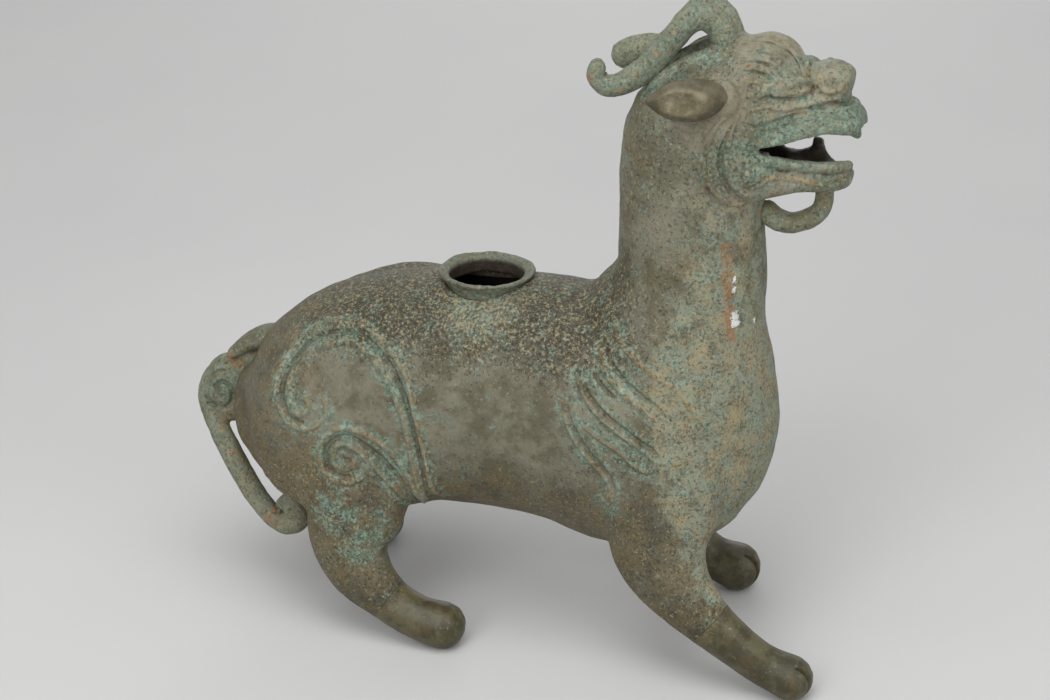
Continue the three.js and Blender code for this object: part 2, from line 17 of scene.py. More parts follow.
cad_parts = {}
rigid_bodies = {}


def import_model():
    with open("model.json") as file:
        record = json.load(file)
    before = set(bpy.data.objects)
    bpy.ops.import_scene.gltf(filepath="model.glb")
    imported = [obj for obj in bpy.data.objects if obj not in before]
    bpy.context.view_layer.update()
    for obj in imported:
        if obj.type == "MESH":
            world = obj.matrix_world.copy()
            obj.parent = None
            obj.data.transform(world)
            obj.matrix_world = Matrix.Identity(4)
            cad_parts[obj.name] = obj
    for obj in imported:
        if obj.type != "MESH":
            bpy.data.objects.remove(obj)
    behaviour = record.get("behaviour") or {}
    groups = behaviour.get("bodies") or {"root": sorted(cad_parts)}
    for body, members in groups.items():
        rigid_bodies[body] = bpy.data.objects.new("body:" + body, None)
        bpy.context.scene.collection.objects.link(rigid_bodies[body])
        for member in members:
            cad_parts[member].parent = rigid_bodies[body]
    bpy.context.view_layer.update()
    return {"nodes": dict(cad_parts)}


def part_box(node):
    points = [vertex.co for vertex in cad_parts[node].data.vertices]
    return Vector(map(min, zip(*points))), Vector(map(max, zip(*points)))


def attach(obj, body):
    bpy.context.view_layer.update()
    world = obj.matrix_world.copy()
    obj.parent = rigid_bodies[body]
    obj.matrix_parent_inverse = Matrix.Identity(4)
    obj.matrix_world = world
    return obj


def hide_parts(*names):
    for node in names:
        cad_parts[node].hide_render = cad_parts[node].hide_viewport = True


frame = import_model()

scene = bpy.context.scene
print("nodes in the frame:", len(frame["nodes"]))

# %% [markdown]
# The forms below are drawn in millimetres from the middle of the filling hole's axis, which the frame
# gives. The nose points along +X, the beast's right side is -Y and the floor is at zero.

# %% Places in the frame
MM = 0.001
HOLE_DRAWN_X = -21.0  # the filling hole's middle in the drawing
hole_low, hole_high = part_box("filler_collar")
origin = Vector(((hole_low.x + hole_high.x) / 2 - HOLE_DRAWN_X * MM, (hole_low.y + hole_high.y) / 2, 0))
RIGHT, LEFT = -1, 1
print("drawing origin in the frame, mm:", [round(c / MM, 2) for c in origin])


def placed(points):
    """Drawn millimetres to metres in the frame."""
    return np.array(points, float) * MM + np.array(origin)


# %% [markdown]
# A lofted form is a row of circles, each one stretched to its own height and width, bridged into a
# skin. It could be pulled from a cube by hand, but circles on a smooth spine keep the proportions
# exact and let one row be changed without touching the rest.

# %% A smooth path and a loft
CAP_STEPS = (28, 56, 78)  # degrees of the rings that round an end
ACROSS = np.array((0.0, 1.0, 0.0))


def smooth_rows(rows, count):
    """Rows at even steps of a smooth curve through the given rows."""
    rows = np.array(rows, float)
    padded = np.vstack([2 * rows[0] - rows[1], rows, 2 * rows[-1] - rows[-2]])
    steps = np.linspace(0, len(rows) - 1, count + 1)
    first = np.minimum(steps.astype(int), len(rows) - 2)
    t = (steps - first)[:, None]
    a, b, c, d = (padded[first + k] for k in range(4))
    return (2 * b + (c - a) * t + (2 * a - 5 * b + 4 * c - d) * t**2 + (3 * b - a - 3 * c + d) * t**3) / 2


def add_ring(bm, centre, heading, depth, width, sides, square):
    """One stretched circle. A square of 2 is an ellipse, and more is boxier."""
    heading = heading / np.linalg.norm(heading)
    side = ACROSS - heading * heading.dot(ACROSS)
    side = side / np.linalg.norm(side)
    up = np.cross(heading, side)
    ring = bmesh.ops.create_circle(bm, segments=sides, radius=1.0)["verts"]
    for v in ring:
        v.co.x = math.copysign(abs(v.co.x) ** (2 / square), v.co.x)
        v.co.y = math.copysign(abs(v.co.y) ** (2 / square), v.co.y)
    turn = Matrix((side * width, up * depth, heading)).transposed().to_4x4()
    turn.translation = centre
    bmesh.ops.transform(bm, matrix=turn, verts=ring)
    return list({e for v in ring for e in v.link_edges})


def loft(bm, rows, rings=24, sides=32, square=2.0, start=0.35, end=0.35):
    """Rows of x, y, z, half depth and half width, in drawn millimetres."""
    path = smooth_rows(rows, rings)
    centres, sizes = placed(path[:, :3]), path[:, 3:5] * MM
    headings = np.gradient(centres, axis=0)
    sections = [(centres[i], headings[i], *sizes[i]) for i in range(len(path))]
    for index, roundness, sign in ((0, start, -1), (-1, end, 1)):
        heading = headings[index] / np.linalg.norm(headings[index])
        for degrees in CAP_STEPS:
            a = math.radians(degrees)
            out = sign * roundness * sizes[index].min() * math.sin(a)
            ring = (centres[index] + heading * out, heading, *(sizes[index] * math.cos(a)))
            sections.insert(0, ring) if sign < 0 else sections.append(ring)
    loops = [add_ring(bm, *section, sides, square) for section in sections]
    for one, other in zip(loops, loops[1:]):
        bmesh.ops.bridge_loops(bm, edges=one + other)
    for edges in (loops[0], loops[-1]):
        bmesh.ops.contextual_create(bm, geom=edges)


def mirrored(rows, sign):
    """Rows that are drawn on the left side, put on the given side."""
    return [(x, sign * y, *rest) for x, y, *rest in rows]


def ball(bm, x, y, z, size_x, size_y, size_z):
    """A ball stretched to three half sizes, in drawn millimetres."""
    stretch = Matrix.Diagonal((size_x * MM, size_y * MM, size_z * MM, 1.0))
    stretch.translation = placed((x, y, z))
    bmesh.ops.create_icosphere(bm, subdivisions=3, radius=1.0, matrix=stretch)


# %% [markdown]
# Clay lumps are pressed together and their seams smoothed away before moulding. Here the lumps are
# melted into one skin of even quads by a voxel remesh, and only the places where two lumps meet are
# smoothed, so that the full forms keep their size.

# %% Melting lumps into one skin
def face_outwards(bm):
    bmesh.ops.recalc_face_normals(bm, faces=bm.faces[:])


def new_object(name, bm):
    mesh = bpy.data.meshes.new(name)
    bm.to_mesh(mesh)
    made = bpy.data.objects.new(name, mesh)
    scene.collection.objects.link(made)
    return made


def applied(made):
    """The object's mesh with its modifiers applied, as a bmesh. The object itself is removed."""
    bpy.context.view_layer.update()
    evaluated = made.evaluated_get(bpy.context.evaluated_depsgraph_get())
    bm = bmesh.new()
    bm.from_mesh(evaluated.to_mesh())
    evaluated.to_mesh_clear()
    mesh = made.data
    bpy.data.objects.remove(made)
    bpy.data.meshes.remove(mesh)
    return bm


def melted(bm, voxel):
    """One closed skin round all the lumps, with quads of the given size in millimetres."""
    face_outwards(bm)
    lumps = new_object("lumps", bm)
    bm.free()
    melt = lumps.modifiers.new("melt", "REMESH")
    melt.mode = "VOXEL"
    melt.voxel_size = voxel * MM
    return applied(lumps)


def soften(bm, rounds, verts=None, factor=0.5):
    for _ in range(rounds):
        bmesh.ops.smooth_vert(bm, verts=verts or bm.verts[:], factor=factor, use_axis_x=True,
                              use_axis_y=True, use_axis_z=True)


def cut_away(bm, cutter):
    """Cuts one closed bmesh out of another."""
    face_outwards(cutter)
    body, knife = new_object("body", bm), new_object("knife", cutter)
    bm.free()
    cutter.free()
    cut = body.modifiers.new("cut", "BOOLEAN")
    cut.operation = "DIFFERENCE"
    cut.solver = "MANIFOLD"
    cut.object = knife
    result = applied(body)
    bpy.data.objects.remove(knife)
    return result


def keep_side(bm, point, direction):
    """Cuts a closed mesh by a plane, closes the cut and keeps what the direction points to."""
    geom = bm.verts[:] + bm.edges[:] + bm.faces[:]
    cut = bmesh.ops.bisect_plane(bm, geom=geom, plane_co=point, plane_no=direction, clear_inner=True)
    rim = [e for e in cut["geom_cut"] if isinstance(e, bmesh.types.BMEdge)]
    bmesh.ops.contextual_create(bm, geom=rim)


# %% [markdown]
# The trunk is one long barrel, fullest at the haunches and the chest, with the neck rising from it.
# Each leg starts as a broad thigh or shoulder that lies half inside the trunk.

# %% Rows of the trunk, the neck and the legs
TRUNK = [(-138, 0, 91, 24, 22), (-124, 0, 92, 39, 35), (-103, 0, 96.5, 49.5, 43), (-78, 0, 104, 56, 46),
         (-48, 0, 112.5, 56, 45), (-15, 0, 114.5, 57, 44), (20, 0, 112.8, 58.2, 45), (50, 0, 107, 60, 47),
         (78, 0, 104, 51.5, 45), (93, 0, 107, 36, 35), (104, 0, 112, 22, 24)]
NECK = [(60, 0, 86, 38, 34), (65, 0, 108, 48.5, 42), (65, 0, 132, 50.5, 42.5), (68.5, 0, 156, 44.8, 38),
        (72.8, 0, 173, 36.6, 33), (74.8, 0, 184, 33.8, 31.3), (74.5, 0, 196, 33, 30.3),
        (73.9, 0, 212, 32.3, 29), (74, 0, 232, 32.5, 29), (75.6, 0, 250, 32.2, 30)]
TRUNK_SQUARE = 2.15
LEG_SPREAD = 46
# A leg is the number of the row at its joint, and its rows: x, how far it stands inside the line of the
# hooves, z, half depth and half width.
LEGS = {
    ("foreleg", "right"): (6, [(66, 19, 124, 23, 14), (70, 15, 104, 28, 17), (71, 12, 84, 27, 16),
                               (71, 9, 66, 24.2, 14.5), (75.5, 5.5, 54, 20.5, 13), (84, 3, 43, 16, 11.8),
                               (97, 1, 31.5, 11.8, 10.8), (110.5, 0, 21.8, 10, 10), (123.5, 0, 14, 9.4, 10),
                               (135.8, 0, 9.4, 10.4, 10.8)]),
    ("foreleg", "left"): (6, [(66, 19, 124, 23, 14), (68, 15, 104, 28, 17), (66, 12, 84, 28, 16),
                              (61, 9, 66, 24, 14.5), (58, 5.5, 51, 20, 13), (60, 2.5, 37, 16.5, 12),
                              (67, 1, 25.5, 13, 11.2), (79, 0, 15.6, 10.5, 10.5), (93, 0, 10.9, 12, 11.5)]),
    ("hindleg", "right"): (7, [(-82, 21, 130, 20, 13), (-87, 15.5, 114, 36, 17), (-86, 13, 94, 42, 17),
                               (-78, 11, 74, 35, 15), (-75.5, 8, 60, 25, 13.5), (-77.2, 5, 46, 19.6, 12.5),
                               (-70.5, 2.5, 31.5, 16, 11.6), (-57, 1, 19.7, 11, 10.8),
                               (-43, 0, 12.8, 10.6, 10.6), (-29.5, 0, 10.2, 11.2, 11.4)]),
    ("hindleg", "left"): (7, [(-82, 21, 130, 20, 13), (-89, 15.5, 114, 36, 17), (-92, 13, 94, 42, 17),
                              (-92, 11, 74, 34, 15), (-99, 8, 60, 26, 13.5), (-109, 5, 47, 20.5, 12.5),
                              (-113, 2.5, 33.5, 17, 11.8), (-108, 1, 21.5, 12, 11), (-100, 0, 14, 11, 10.8),
                              (-91.5, 0, 10.4, 11.6, 11.6)]),
}
SIDES = {"right": RIGHT, "left": LEFT}
NECK_JOINT_Z = 224.0
JOINT_GAP = 0.12
WALL = 3.5


def leg_rows(kind, side):
    joint, rows = LEGS[kind, side]
    return joint, [(x, SIDES[side] * (LEG_SPREAD - inset), z, d, w) for x, inset, z, d, w in rows]


def leg_joint(kind, side):
    """Place of the joint with the restored lower leg, the direction down the leg, and its half depth."""
    joint, rows = leg_rows(kind, side)
    steps = 20
    path = placed(smooth_rows([r[:3] for r in rows], steps * (len(rows) - 1)))
    at = path[joint * steps]
    heading = path[joint * steps + 1] - path[joint * steps - 1]
    return Vector(at), Vector(heading).normalized(), rows[joint][3] * MM


# %% Trunk, neck and upper legs as one skin
PAST_JOINT = 8  # millimetres that a lump runs past its joint before the joint is cut


def take_in(bm, other):
    """Adds a copy of one bmesh to another, and frees it."""
    mesh = bpy.data.meshes.new("taken in")
    other.to_mesh(mesh)
    other.free()
    bm.from_mesh(mesh)
    bpy.data.meshes.remove(mesh)


class Lumps:
    """Lumps of clay that are to be melted together. It keeps each one's surface to find the seams."""

    def __init__(self):
        self.bm = bmesh.new()
        self.surfaces = []

    def add(self, lump):
        self.surfaces.append(BVHTree.FromBMesh(lump))
        take_in(self.bm, lump)

    def add_loft(self, rows, **shape):
        lump = bmesh.new()
        loft(lump, rows, **shape)
        self.add(lump)

    def add_ball(self, *shape):
        lump = bmesh.new()
        ball(lump, *shape)
        self.add(lump)

    def melt(self, voxel, bands):
        """One skin, smoothed where two lumps meet. A band is how near in millimetres, and its rounds."""
        skin = melted(self.bm, voxel)
        distances = [[tree.find_nearest(v.co)[3] for tree in self.surfaces] for v in skin.verts]
        seam = np.sort(distances, axis=1)[:, 1] / MM
        for reach, rounds in bands:
            soften(skin, rounds, [v for v, d in zip(skin.verts, seam) if d < reach])
        soften(skin, 2)
        return skin


# The front corner of a haunch hangs below the end of its relief.
HAUNCH_CORNER = [(-52, 37, 112, 9, 6), (-46, 38.5, 98, 10, 7), (-42.5, 39, 87, 9.5, 7.2),
                 (-40.5, 38.5, 79.5, 7, 7), (-43, 38, 73.5, 6, 6)]
# The left haunch rises in a broad rim that shows over the back.
LEFT_RIM = [(-116, 27, 120, 9, 9), (-102, 29, 134, 11.5, 11.5), (-87.5, 30, 141.6, 12, 12),
            (-77.5, 30, 145.5, 12, 12), (-69.5, 30, 147.8, 12, 12), (-60, 30, 149, 12, 12),
            (-52.5, 30, 148.6, 11.5, 11.5), (-42, 29, 145, 10, 10)]
# A ball is the place of its middle and its three half sizes.
HAUNCH_SWELLING = (-74, 20, 122, 37, 22.5, 34)
KNOB = (-127, -12, 61, 6, 5, 6)  # at the right thigh, beside the tail's tip
BREAST = (78, 0, 114, 40, 34, 43)
BODY_VOXEL = 2.0
BODY_SEAMS = ((10, 6), (7, 7), (4, 8))


def neck_lump(sign):
    """The neck up to a little past its joint with the head, or from a little below it."""
    neck = bmesh.new()
    loft(neck, NECK, rings=36, sides=56, start=0.4, end=0.9)
    keep_side(neck, Vector((0, 0, (NECK_JOINT_Z - sign * PAST_JOINT) * MM)), Vector((0, 0, sign)))
    return neck


lumps = Lumps()
lumps.add_loft(TRUNK, rings=44, sides=56, square=TRUNK_SQUARE)
lumps.add(neck_lump(-1))
for kind, side in LEGS:
    at, heading, half_depth = leg_joint(kind, side)
    leg = bmesh.new()
    loft(leg, leg_rows(kind, side)[1], rings=40, sides=36, start=0.7, end=0.95)
    keep_side(leg, at + heading * PAST_JOINT * MM, -heading)
    lumps.add(leg)
for sign in (RIGHT, LEFT):
    lumps.add_ball(*mirrored([HAUNCH_SWELLING], sign)[0])
    lumps.add_loft(mirrored(HAUNCH_CORNER, sign), rings=20, start=0.5, end=0.6)
lumps.add_loft(LEFT_RIM, rings=36, sides=32, start=0.8, end=0.8)
lumps.add_ball(*KNOB)
lumps.add_ball(*BREAST)
body = lumps.melt(BODY_VOXEL, BODY_SEAMS)
body_surface = BVHTree.FromBMesh(body)
print("body skin:", len(body.verts), "points")

# %% [markdown]
# The haunches carry cast relief: two long bands that end in a curl, each one a ridge, a groove and a
# ridge. The shoulders carry flames of thin ridges and grooves. Each line is drawn as seen from the side,
# laid on the skin, and the points of the mesh near it are raised or sunk by how close they are.

# %% Lines of the relief
# Each line is its points (x, z), its half width, its height (a groove is below zero), and what share of
# both is left at its start and end.
HAUNCH = [
    ([(-34, 71), (-36.5, 88), (-39.6, 104), (-42.2, 117), (-46.5, 133.9), (-56.8, 145.4),
      (-70.9, 151.7), (-82.4, 151.7), (-95.2, 146.6), (-105.4, 136.7), (-110, 128.1), (-110, 119),
      (-107, 111), (-101.9, 106.5), (-94.9, 105), (-87.5, 108.5), (-84, 114.5), (-86, 120.5)],
     1.5, 0.9, 1.0, 0.6),
    ([(-36.8, 73), (-38.9, 90.4), (-42.1, 105.7), (-45, 118.2), (-49.2, 129.6), (-56, 139.4),
      (-68.5, 147.7), (-82, 149), (-94.5, 144), (-103, 134.3), (-106.8, 126), (-106.6, 117.5),
      (-102.5, 110), (-95.4, 108.3)], 1.5, -0.9, 0.7, 0.6),
    ([(-39.5, 72), (-41.4, 84), (-44.4, 96), (-46.4, 108), (-49.3, 119), (-55.5, 131.6),
      (-65.5, 141.7), (-74, 145.1), (-81, 144.7), (-91.5, 140.6), (-99.5, 132.9),
      (-102.8, 126.5), (-103, 119.1), (-100, 113.3), (-95.9, 112), (-92.6, 115.4),
      (-93.6, 118.6), (-96.3, 119)], 1.6, 1.0, 0.8, 0.7),
    ([(-40.5, 75), (-46.2, 85), (-53.5, 96.4), (-62.4, 103.8), (-70.8, 107.1), (-78.2, 107.1), (-84.2, 102.6),
      (-87, 94.6), (-85.8, 86.5), (-80.2, 81.5), (-73, 81), (-66.8, 84.2), (-64.3, 91.4), (-67, 97.3)],
     1.5, 0.9, 0.8, 0.6),
    ([(-42, 71), (-48.6, 81.5), (-56, 91), (-63.5, 98.5), (-71.5, 103.3), (-78, 103), (-82.6, 99),
      (-84, 93.5), (-82.6, 87.5), (-78.5, 84.3), (-73, 84)], 1.3, -0.9, 0.6, 0.6),
    ([(-45.5, 68.5), (-51.5, 76.5), (-58.6, 86), (-65.2, 93.8), (-72.5, 99.6), (-77.9, 99.2), (-80.6, 94.5),
      (-79.1, 89.2), (-75, 87.5), (-71.2, 89.9), (-71.6, 93.7), (-74.4, 94.4)], 1.4, 0.95, 0.6, 0.7),
]
SHOULDER = [
    ([(42.9, 159.6), (45.6, 154), (48.6, 149.1), (53.3, 145.1), (59.6, 140.5), (65.7, 136.8), (70.9, 133),
      (76.2, 128.1)], 0.9, -0.8, 0.5, 0.3),
    ([(47.3, 165.5), (51.3, 159.7), (56.7, 155.3), (62.9, 151.1), (68.7, 148.1), (76.4, 143.8), (82.2, 137.6),
      (86.8, 130.3), (90.2, 125.4)], 1.5, 0.6, 0.8, 0.4),
    ([(41.2, 156), (43.2, 150.5), (46.4, 145.6), (51.5, 141.2), (57.8, 136.6), (64, 132.6), (70, 128.2)],
     1.9, 0.8, 0.6, 0.3),
    ([(40.1, 145.3), (44.9, 140.2), (50.1, 136.7)], 0.9, -0.9, 0.5, 0.6),
    ([(32, 145.1), (34.6, 138.6), (39.9, 131.6), (46.3, 126.2), (53.5, 121.4), (61.8, 116.3), (68.4, 112.2),
      (70.6, 109.2), (68.9, 105.6), (64.7, 105.3), (59.9, 107.6), (55.1, 111.9), (50.9, 114.4), (45.5, 116.8),
      (37.1, 122.1)], 1.2, 0.95, 0.7, 0.3),
    ([(36, 140.2), (41.3, 133.8), (47.6, 128.4), (54.8, 123.6), (63, 118.4), (70.2, 113.8), (73.4, 109)],
     0.9, -0.8, 0.4, 0.3),
    ([(27.2, 132.2), (28.3, 125.5), (31.9, 117.6), (36.8, 110.6), (42.3, 104.6), (47, 99.9), (49.9, 93.8),
      (51, 86.7), (49.6, 82.5)], 1.2, 0.85, 0.4, 0.5),
    ([(29.4, 131), (30.8, 124.8), (34.3, 118), (39, 111.4), (44.6, 105.4), (49.4, 100.2), (52.3, 93.6)],
     0.9, -0.9, 0.5, 0.3),
    ([(44.8, 85), (48.5, 88.5), (49.8, 93)], 1.1, 0.5, 0.3, 0.8),
]


def ease(values, low, high):
    """0 below low, 1 above high, and a soft step between."""
    t = np.clip((values - low) / (high - low), 0, 1)
    return t * t * (3 - 2 * t)


def laid_from_side(points, side):
    """A line drawn from the side, laid on the body's skin on that side."""
    route = []
    for x, z in smooth_rows(points, 8 * (len(points) - 1)):
        hit = body_surface.ray_cast(Vector(placed((x, side * 90, z))), Vector((0, -side, 0)))[0]
        if hit is not None:
            route.append(hit)
    return np.array(route)


def laid_nearest(points, surface, side=RIGHT):
    """A line drawn in space on the right side, laid on the nearest skin of the given side."""
    drawn = smooth_rows([(x, -side * y, z) for x, y, z in points], 6 * (len(points) - 1))
    return np.array([surface.find_nearest(Vector(p))[0] for p in placed(drawn)])


NEAR = 8 * MM  # how far from a line its distance is worked out


def near_line(co, route):
    """Distance from each point to a line, and how far along the line it is, from 0 to 1."""
    best = np.full(len(co), 1.0)
    along = np.zeros(len(co))
    inside = np.nonzero(((co > route.min(0) - NEAR) & (co < route.max(0) + NEAR)).all(1))[0]
    here = co[inside]
    nearest = np.full(len(inside), 1.0)
    share = np.zeros(len(inside))
    for k, (a, b) in enumerate(zip(route, route[1:])):
        ab = b - a
        length = ab.dot(ab)
        if length < 1e-12:
            continue
        t = np.clip((here - a) @ ab / length, 0, 1)
        d = np.linalg.norm(here - a - t[:, None] * ab, axis=1)
        closer = d < nearest
        nearest[closer] = d[closer]
        share[closer] = (k + t[closer]) / (len(route) - 1)
    best[inside] = nearest
    along[inside] = share
    return best, along


def points_of(bm):
    return np.array([v.co for v in bm.verts])


def refine_near_lines(bm, lines, margin):
    """Halves the mesh's quads where a line runs."""
    co = points_of(bm)
    close = np.zeros(len(co), bool)
    for route, half_width, *_ in lines:
        close |= near_line(co, route)[0] < half_width + margin * MM
    bm.verts.ensure_lookup_table()
    edges = {e for i in np.nonzero(close)[0] for e in bm.verts[i].link_edges}
    bmesh.ops.subdivide_edges(bm, edges=list(edges), cuts=1, use_grid_fill=True)


def height_of_lines(co, lines):
    """Share of a ridge and of a groove, and in metres the height and how far the nearest line is."""
    up, down, nearest = np.zeros(len(co)), np.zeros(len(co)), np.full(len(co), 1.0)
    ridge, groove = np.zeros(len(co)), np.zeros(len(co))
    for route, half_width, height, start, end in lines:
        d, along = near_line(co, route)
        taper = np.interp(along, (0, 0.25, 0.8, 1), (start, 1, 1, end))
        shape = np.clip(1 - (d / (half_width * taper)) ** 2, 0, 1) ** 1.3 * taper
        nearest = np.minimum(nearest, d)
        if height > 0:
            up, ridge = np.maximum(up, shape * height), np.maximum(ridge, shape)
        else:
            down, groove = np.minimum(down, shape * height), np.maximum(groove, shape)
    return ridge, groove, up + down, nearest


def raise_relief(bm, lines, hand_marks):
    """Raises the lines out of the skin, and adds the small unevenness of a hand-made mould.
    A hand mark is its feature size and its height in millimetres."""
    heights = height_of_lines(points_of(bm), lines)[2] if lines else np.zeros(len(bm.verts))
    bm.normal_update()
    for v, height in zip(bm.verts, heights):
        for feature, depth in hand_marks:
            height += noise.noise(v.co / (feature * MM)) * depth * MM
        v.co += v.normal * height


def lines_in_metres(table, lay, wider=1.0, higher=1.0):
    return [(lay(points), half_width * wider * MM, height * higher * MM, start, end)
            for points, half_width, height, start, end in table]


# How much wider and higher than its table the relief is cast.
BODY_RELIEF = (1.25, 1.5)
HEAD_RELIEF = (1.1, 1.2)
# The unevenness of each piece's mould: feature size and height, both in millimetres.
HAND_MARKS = {
    "body": ((12, 0.22), (5, 0.15)), "head": ((9, 0.35), (5, 0.15), (2.5, 0.12)),
    "horn": ((9, 0.45), (4, 0.3), (2, 0.1)), "ear": ((6, 0.25),), "beard": ((7, 0.4), (3, 0.2)),
    "tail": ((8, 0.35), (3.5, 0.2)), "collar": ((9, 0.5), (3, 0.3)), "leg": ((12, 0.3), (5, 0.12)),
}

body_lines = [line for side in (RIGHT, LEFT) for table in (HAUNCH, SHOULDER)
              for line in lines_in_metres(table, lambda points: laid_from_side(points, side), *BODY_RELIEF)]
refine_near_lines(body, body_lines, 1.0)
refine_near_lines(body, body_lines, 0.0)
raise_relief(body, body_lines, HAND_MARKS["body"])
print("relief lines:", len(body_lines), "points:", len(body.verts))

# %% [markdown]
# The casting is hollow, from the hole in the back to the mouth. The hollow, the hole for the filling
# collar and the flat ends of the upper legs are cut last, so that their edges stay crisp.

# %% Hollow, hole and leg ends
HOLE_RADIUS = 19.9
HOLLOW_VOXEL = 3.5


def shrunk(rows):
    return [(x, y, z, depth - WALL, width - WALL) for x, y, z, depth, width in rows]


def bar(bm, start, end, radius, sides=48):
    """A round bar between two places, in metres."""
    line = end - start
    turn = line.to_track_quat("Z", "Y").to_matrix().to_4x4()
    turn.translation = (start + end) / 2
    bmesh.ops.create_cone(bm, cap_ends=True, segments=sides, radius1=radius, radius2=radius,
                          depth=line.length, matrix=turn)


def block(bm, low, high):
    """A block between two corners, in metres."""
    size = high - low
    place = Matrix.Diagonal((*size, 1.0))
    place.translation = (low + high) / 2
    bmesh.ops.create_cube(bm, size=1.0, matrix=place)


def neck_joint_block(sign):
    """Everything above the joint between neck and head, or everything below it."""
    edge = Vector((0, 0, NECK_JOINT_Z * MM))
    knife = bmesh.new()
    low, high = sorted((0, sign * 0.1))
    block(knife, edge + Vector((-0.2, -0.1, low)), edge + Vector((0.3, 0.1, high)))
    return knife


body = cut_away(body, neck_joint_block(1))
hollow = bmesh.new()
loft(hollow, shrunk(TRUNK), rings=30, sides=36, square=TRUNK_SQUARE, start=0.15, end=0.15)
loft(hollow, shrunk(NECK), rings=24, sides=36, start=0.4, end=0.4)
body = cut_away(body, melted(hollow, HOLLOW_VOXEL))
knife = bmesh.new()
hole = Vector(placed((HOLE_DRAWN_X, 0, 150)))
bar(knife, hole, hole + Vector((0, 0, 0.04)), HOLE_RADIUS * MM, sides=96)
for kind, side in LEGS:
    at, heading, half_depth = leg_joint(kind, side)
    bar(knife, at, at + heading * 0.03, half_depth + 2 * MM)
body = cut_away(body, knife)
print("body after cutting:", len(body.verts), "points")

# %% [markdown]
# Every piece gets painted attributes that its patina reads. "form" says where the ridges, the grooves and
# the inside are, which gets a painted shade, and which places were mended. "tint" says where green
# corrosion, thick crust, dry soil and bare copper lie, "age" how dark it is painted, low on the body as a
# painted shade, how grainy the patina is and where white residue and rust lie, and "cast" how warm its
# brown is. The smooth restored pieces have only the first two. All could be painted by hand, but values
# worked out from the relief stay true to it.

# %% Pieces and their painted attributes
def make_piece(name, bm, stands_for, smooth_below=55):
    """A finished piece that rides on the vessel's body and stands for its CAD nodes."""
    for face in bm.faces:
        face.smooth = True
    face_outwards(bm)
    piece = new_object(name, bm)
    bm.free()
    piece.data.set_sharp_from_angle(angle=math.radians(smooth_below))
    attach(piece, "root")
    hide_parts(*stands_for)
    print(name, "triangles:", sum(len(p.vertices) - 2 for p in piece.data.polygons))
    return piece


def paint(piece, name, red, green, blue, alpha):
    count = len(piece.data.vertices)
    layer = piece.data.attributes.new(name, "FLOAT_COLOR", "POINT")
    channels = [np.broadcast_to(np.asarray(v, float), count) for v in (red, green, blue, alpha)]
    values = np.stack(channels, axis=1)
    layer.data.foreach_set("color", np.clip(values, 0, 1).astype(np.float32).ravel())


def drawn_points(piece):
    """A piece's points in metres, and in drawn millimetres."""
    co = np.empty(len(piece.data.vertices) * 3)
    piece.data.vertices.foreach_get("co", co)
    co = co.reshape(-1, 3)
    return co, (co - np.array(origin)) / MM


def spot(drawn, x, y, z, radius):
    """1 at a place, falling to 0 at the given radius, in drawn millimetres."""
    return 1 - ease(np.linalg.norm(drawn - np.array((x, y, z)), axis=1), radius * 0.35, radius)


def strongest(drawn, places):
    """The strongest of several spots. A place is x, y, z and radius."""
    return np.maximum.reduce([spot(drawn, *place) for place in places])


def on_both_sides(drawn, places):
    """The strongest of several spots that are given on the left side and lie on both."""
    return strongest(drawn, mirrored(places, RIGHT) + mirrored(places, LEFT))


def inside_of(co, surface):
    """1 on faces that look into the hollow, by how far under the outer skin they are. These get a painted
    shade.
    """
    depth = np.array([surface.find_nearest(Vector(p))[3] for p in co])
    return ease(depth, 1.3 * MM, 2.3 * MM)


def paint_bronze(piece, form, tint, shade_and_age, warm):
    """Paints a corroded piece. "form" is ridges, grooves, the inside with its painted shade and mended
    places,
    "tint" is green, crust, soil and copper, and "age" is darkness, low on the body a painted shade, grain,
    white residue and rust."""
    for name, values in {"form": form, "tint": tint, "shade_and_age": shade_and_age, "cast": (warm, 0, 0, 0)}.items():
        paint(piece, name, *values)


# Where the rough crust of the front starts: x at each height.
CRUST_EDGE = ([40, 60, 75, 95, 110, 125, 140, 155, 168.5, 181.6, 204.4, 221],
              [99, 88, 80, 71, 67, 66, 63, 63, 69, 72, 74, 82])
JOINT_STAIN = 30  # how far from a leg's joint its dark stain reaches
NECK_RESIDUE = [(98.5, -21, 173.5, 3.6), (98.8, -21, 170, 3.6), (98, -22, 186, 2.4),
                (98.4, -22, 190, 2.2), (107, -12, 168, 3)]
NECK_RUST = [(94.5 + 0.3 * k, -24, 206 - 3.2 * k, 5) for k in range(14)]

body_piece = make_piece("body_dressed", body, ["body_shell"])
co, drawn = drawn_points(body_piece)
x, y, z = drawn.T
ridge, groove, _, near = height_of_lines(co, body_lines)
near = near / MM
joint = np.zeros(len(co))
for kind, side in LEGS:
    at, heading, half_depth = leg_joint(kind, side)
    here = np.linalg.norm(co - np.array(at), axis=1) < JOINT_STAIN * MM
    joint = np.maximum(joint, here * ease((co - np.array(at)) @ np.array(heading) / MM, -16, 0))
front = ease(x - np.interp(z, *CRUST_EDGE), -9, 9) * ease(z, 34, 50) * (1 - 0.25 * ease(z, 150, 180))
top = ease(z, 134, 156) * (1 - ease(x, 44, 66)) * (1 - ease(z, 168, 212))
beside_relief = ease(near, 0.6, 1.6) * (1 - ease(near, 2.4, 5.0))
around_hole = spot(drawn, HOLE_DRAWN_X + 4, -22, 165, 24)
hind_leg = spot(drawn, -66, -50, 54, 22) + spot(drawn, -84, -48, 66, 16)
green = (0.18 + 0.5 * beside_relief + 0.3 * front + 0.35 * around_hole + 0.45 * hind_leg
         + 0.14 * ease(near, 0, 3) * top)
soil = (0.2 + 0.3 * beside_relief + 0.3 * front + 0.45 * around_hole + 0.3 * top
        + 0.25 * spot(drawn, -90, -48, 70, 34))
middle = spot(drawn * (0.5, 0, 1), -1, 0, 116, 28) + spot(drawn, -74, -45, 116, 30)
low = 1 - ease(z, 72, 112)
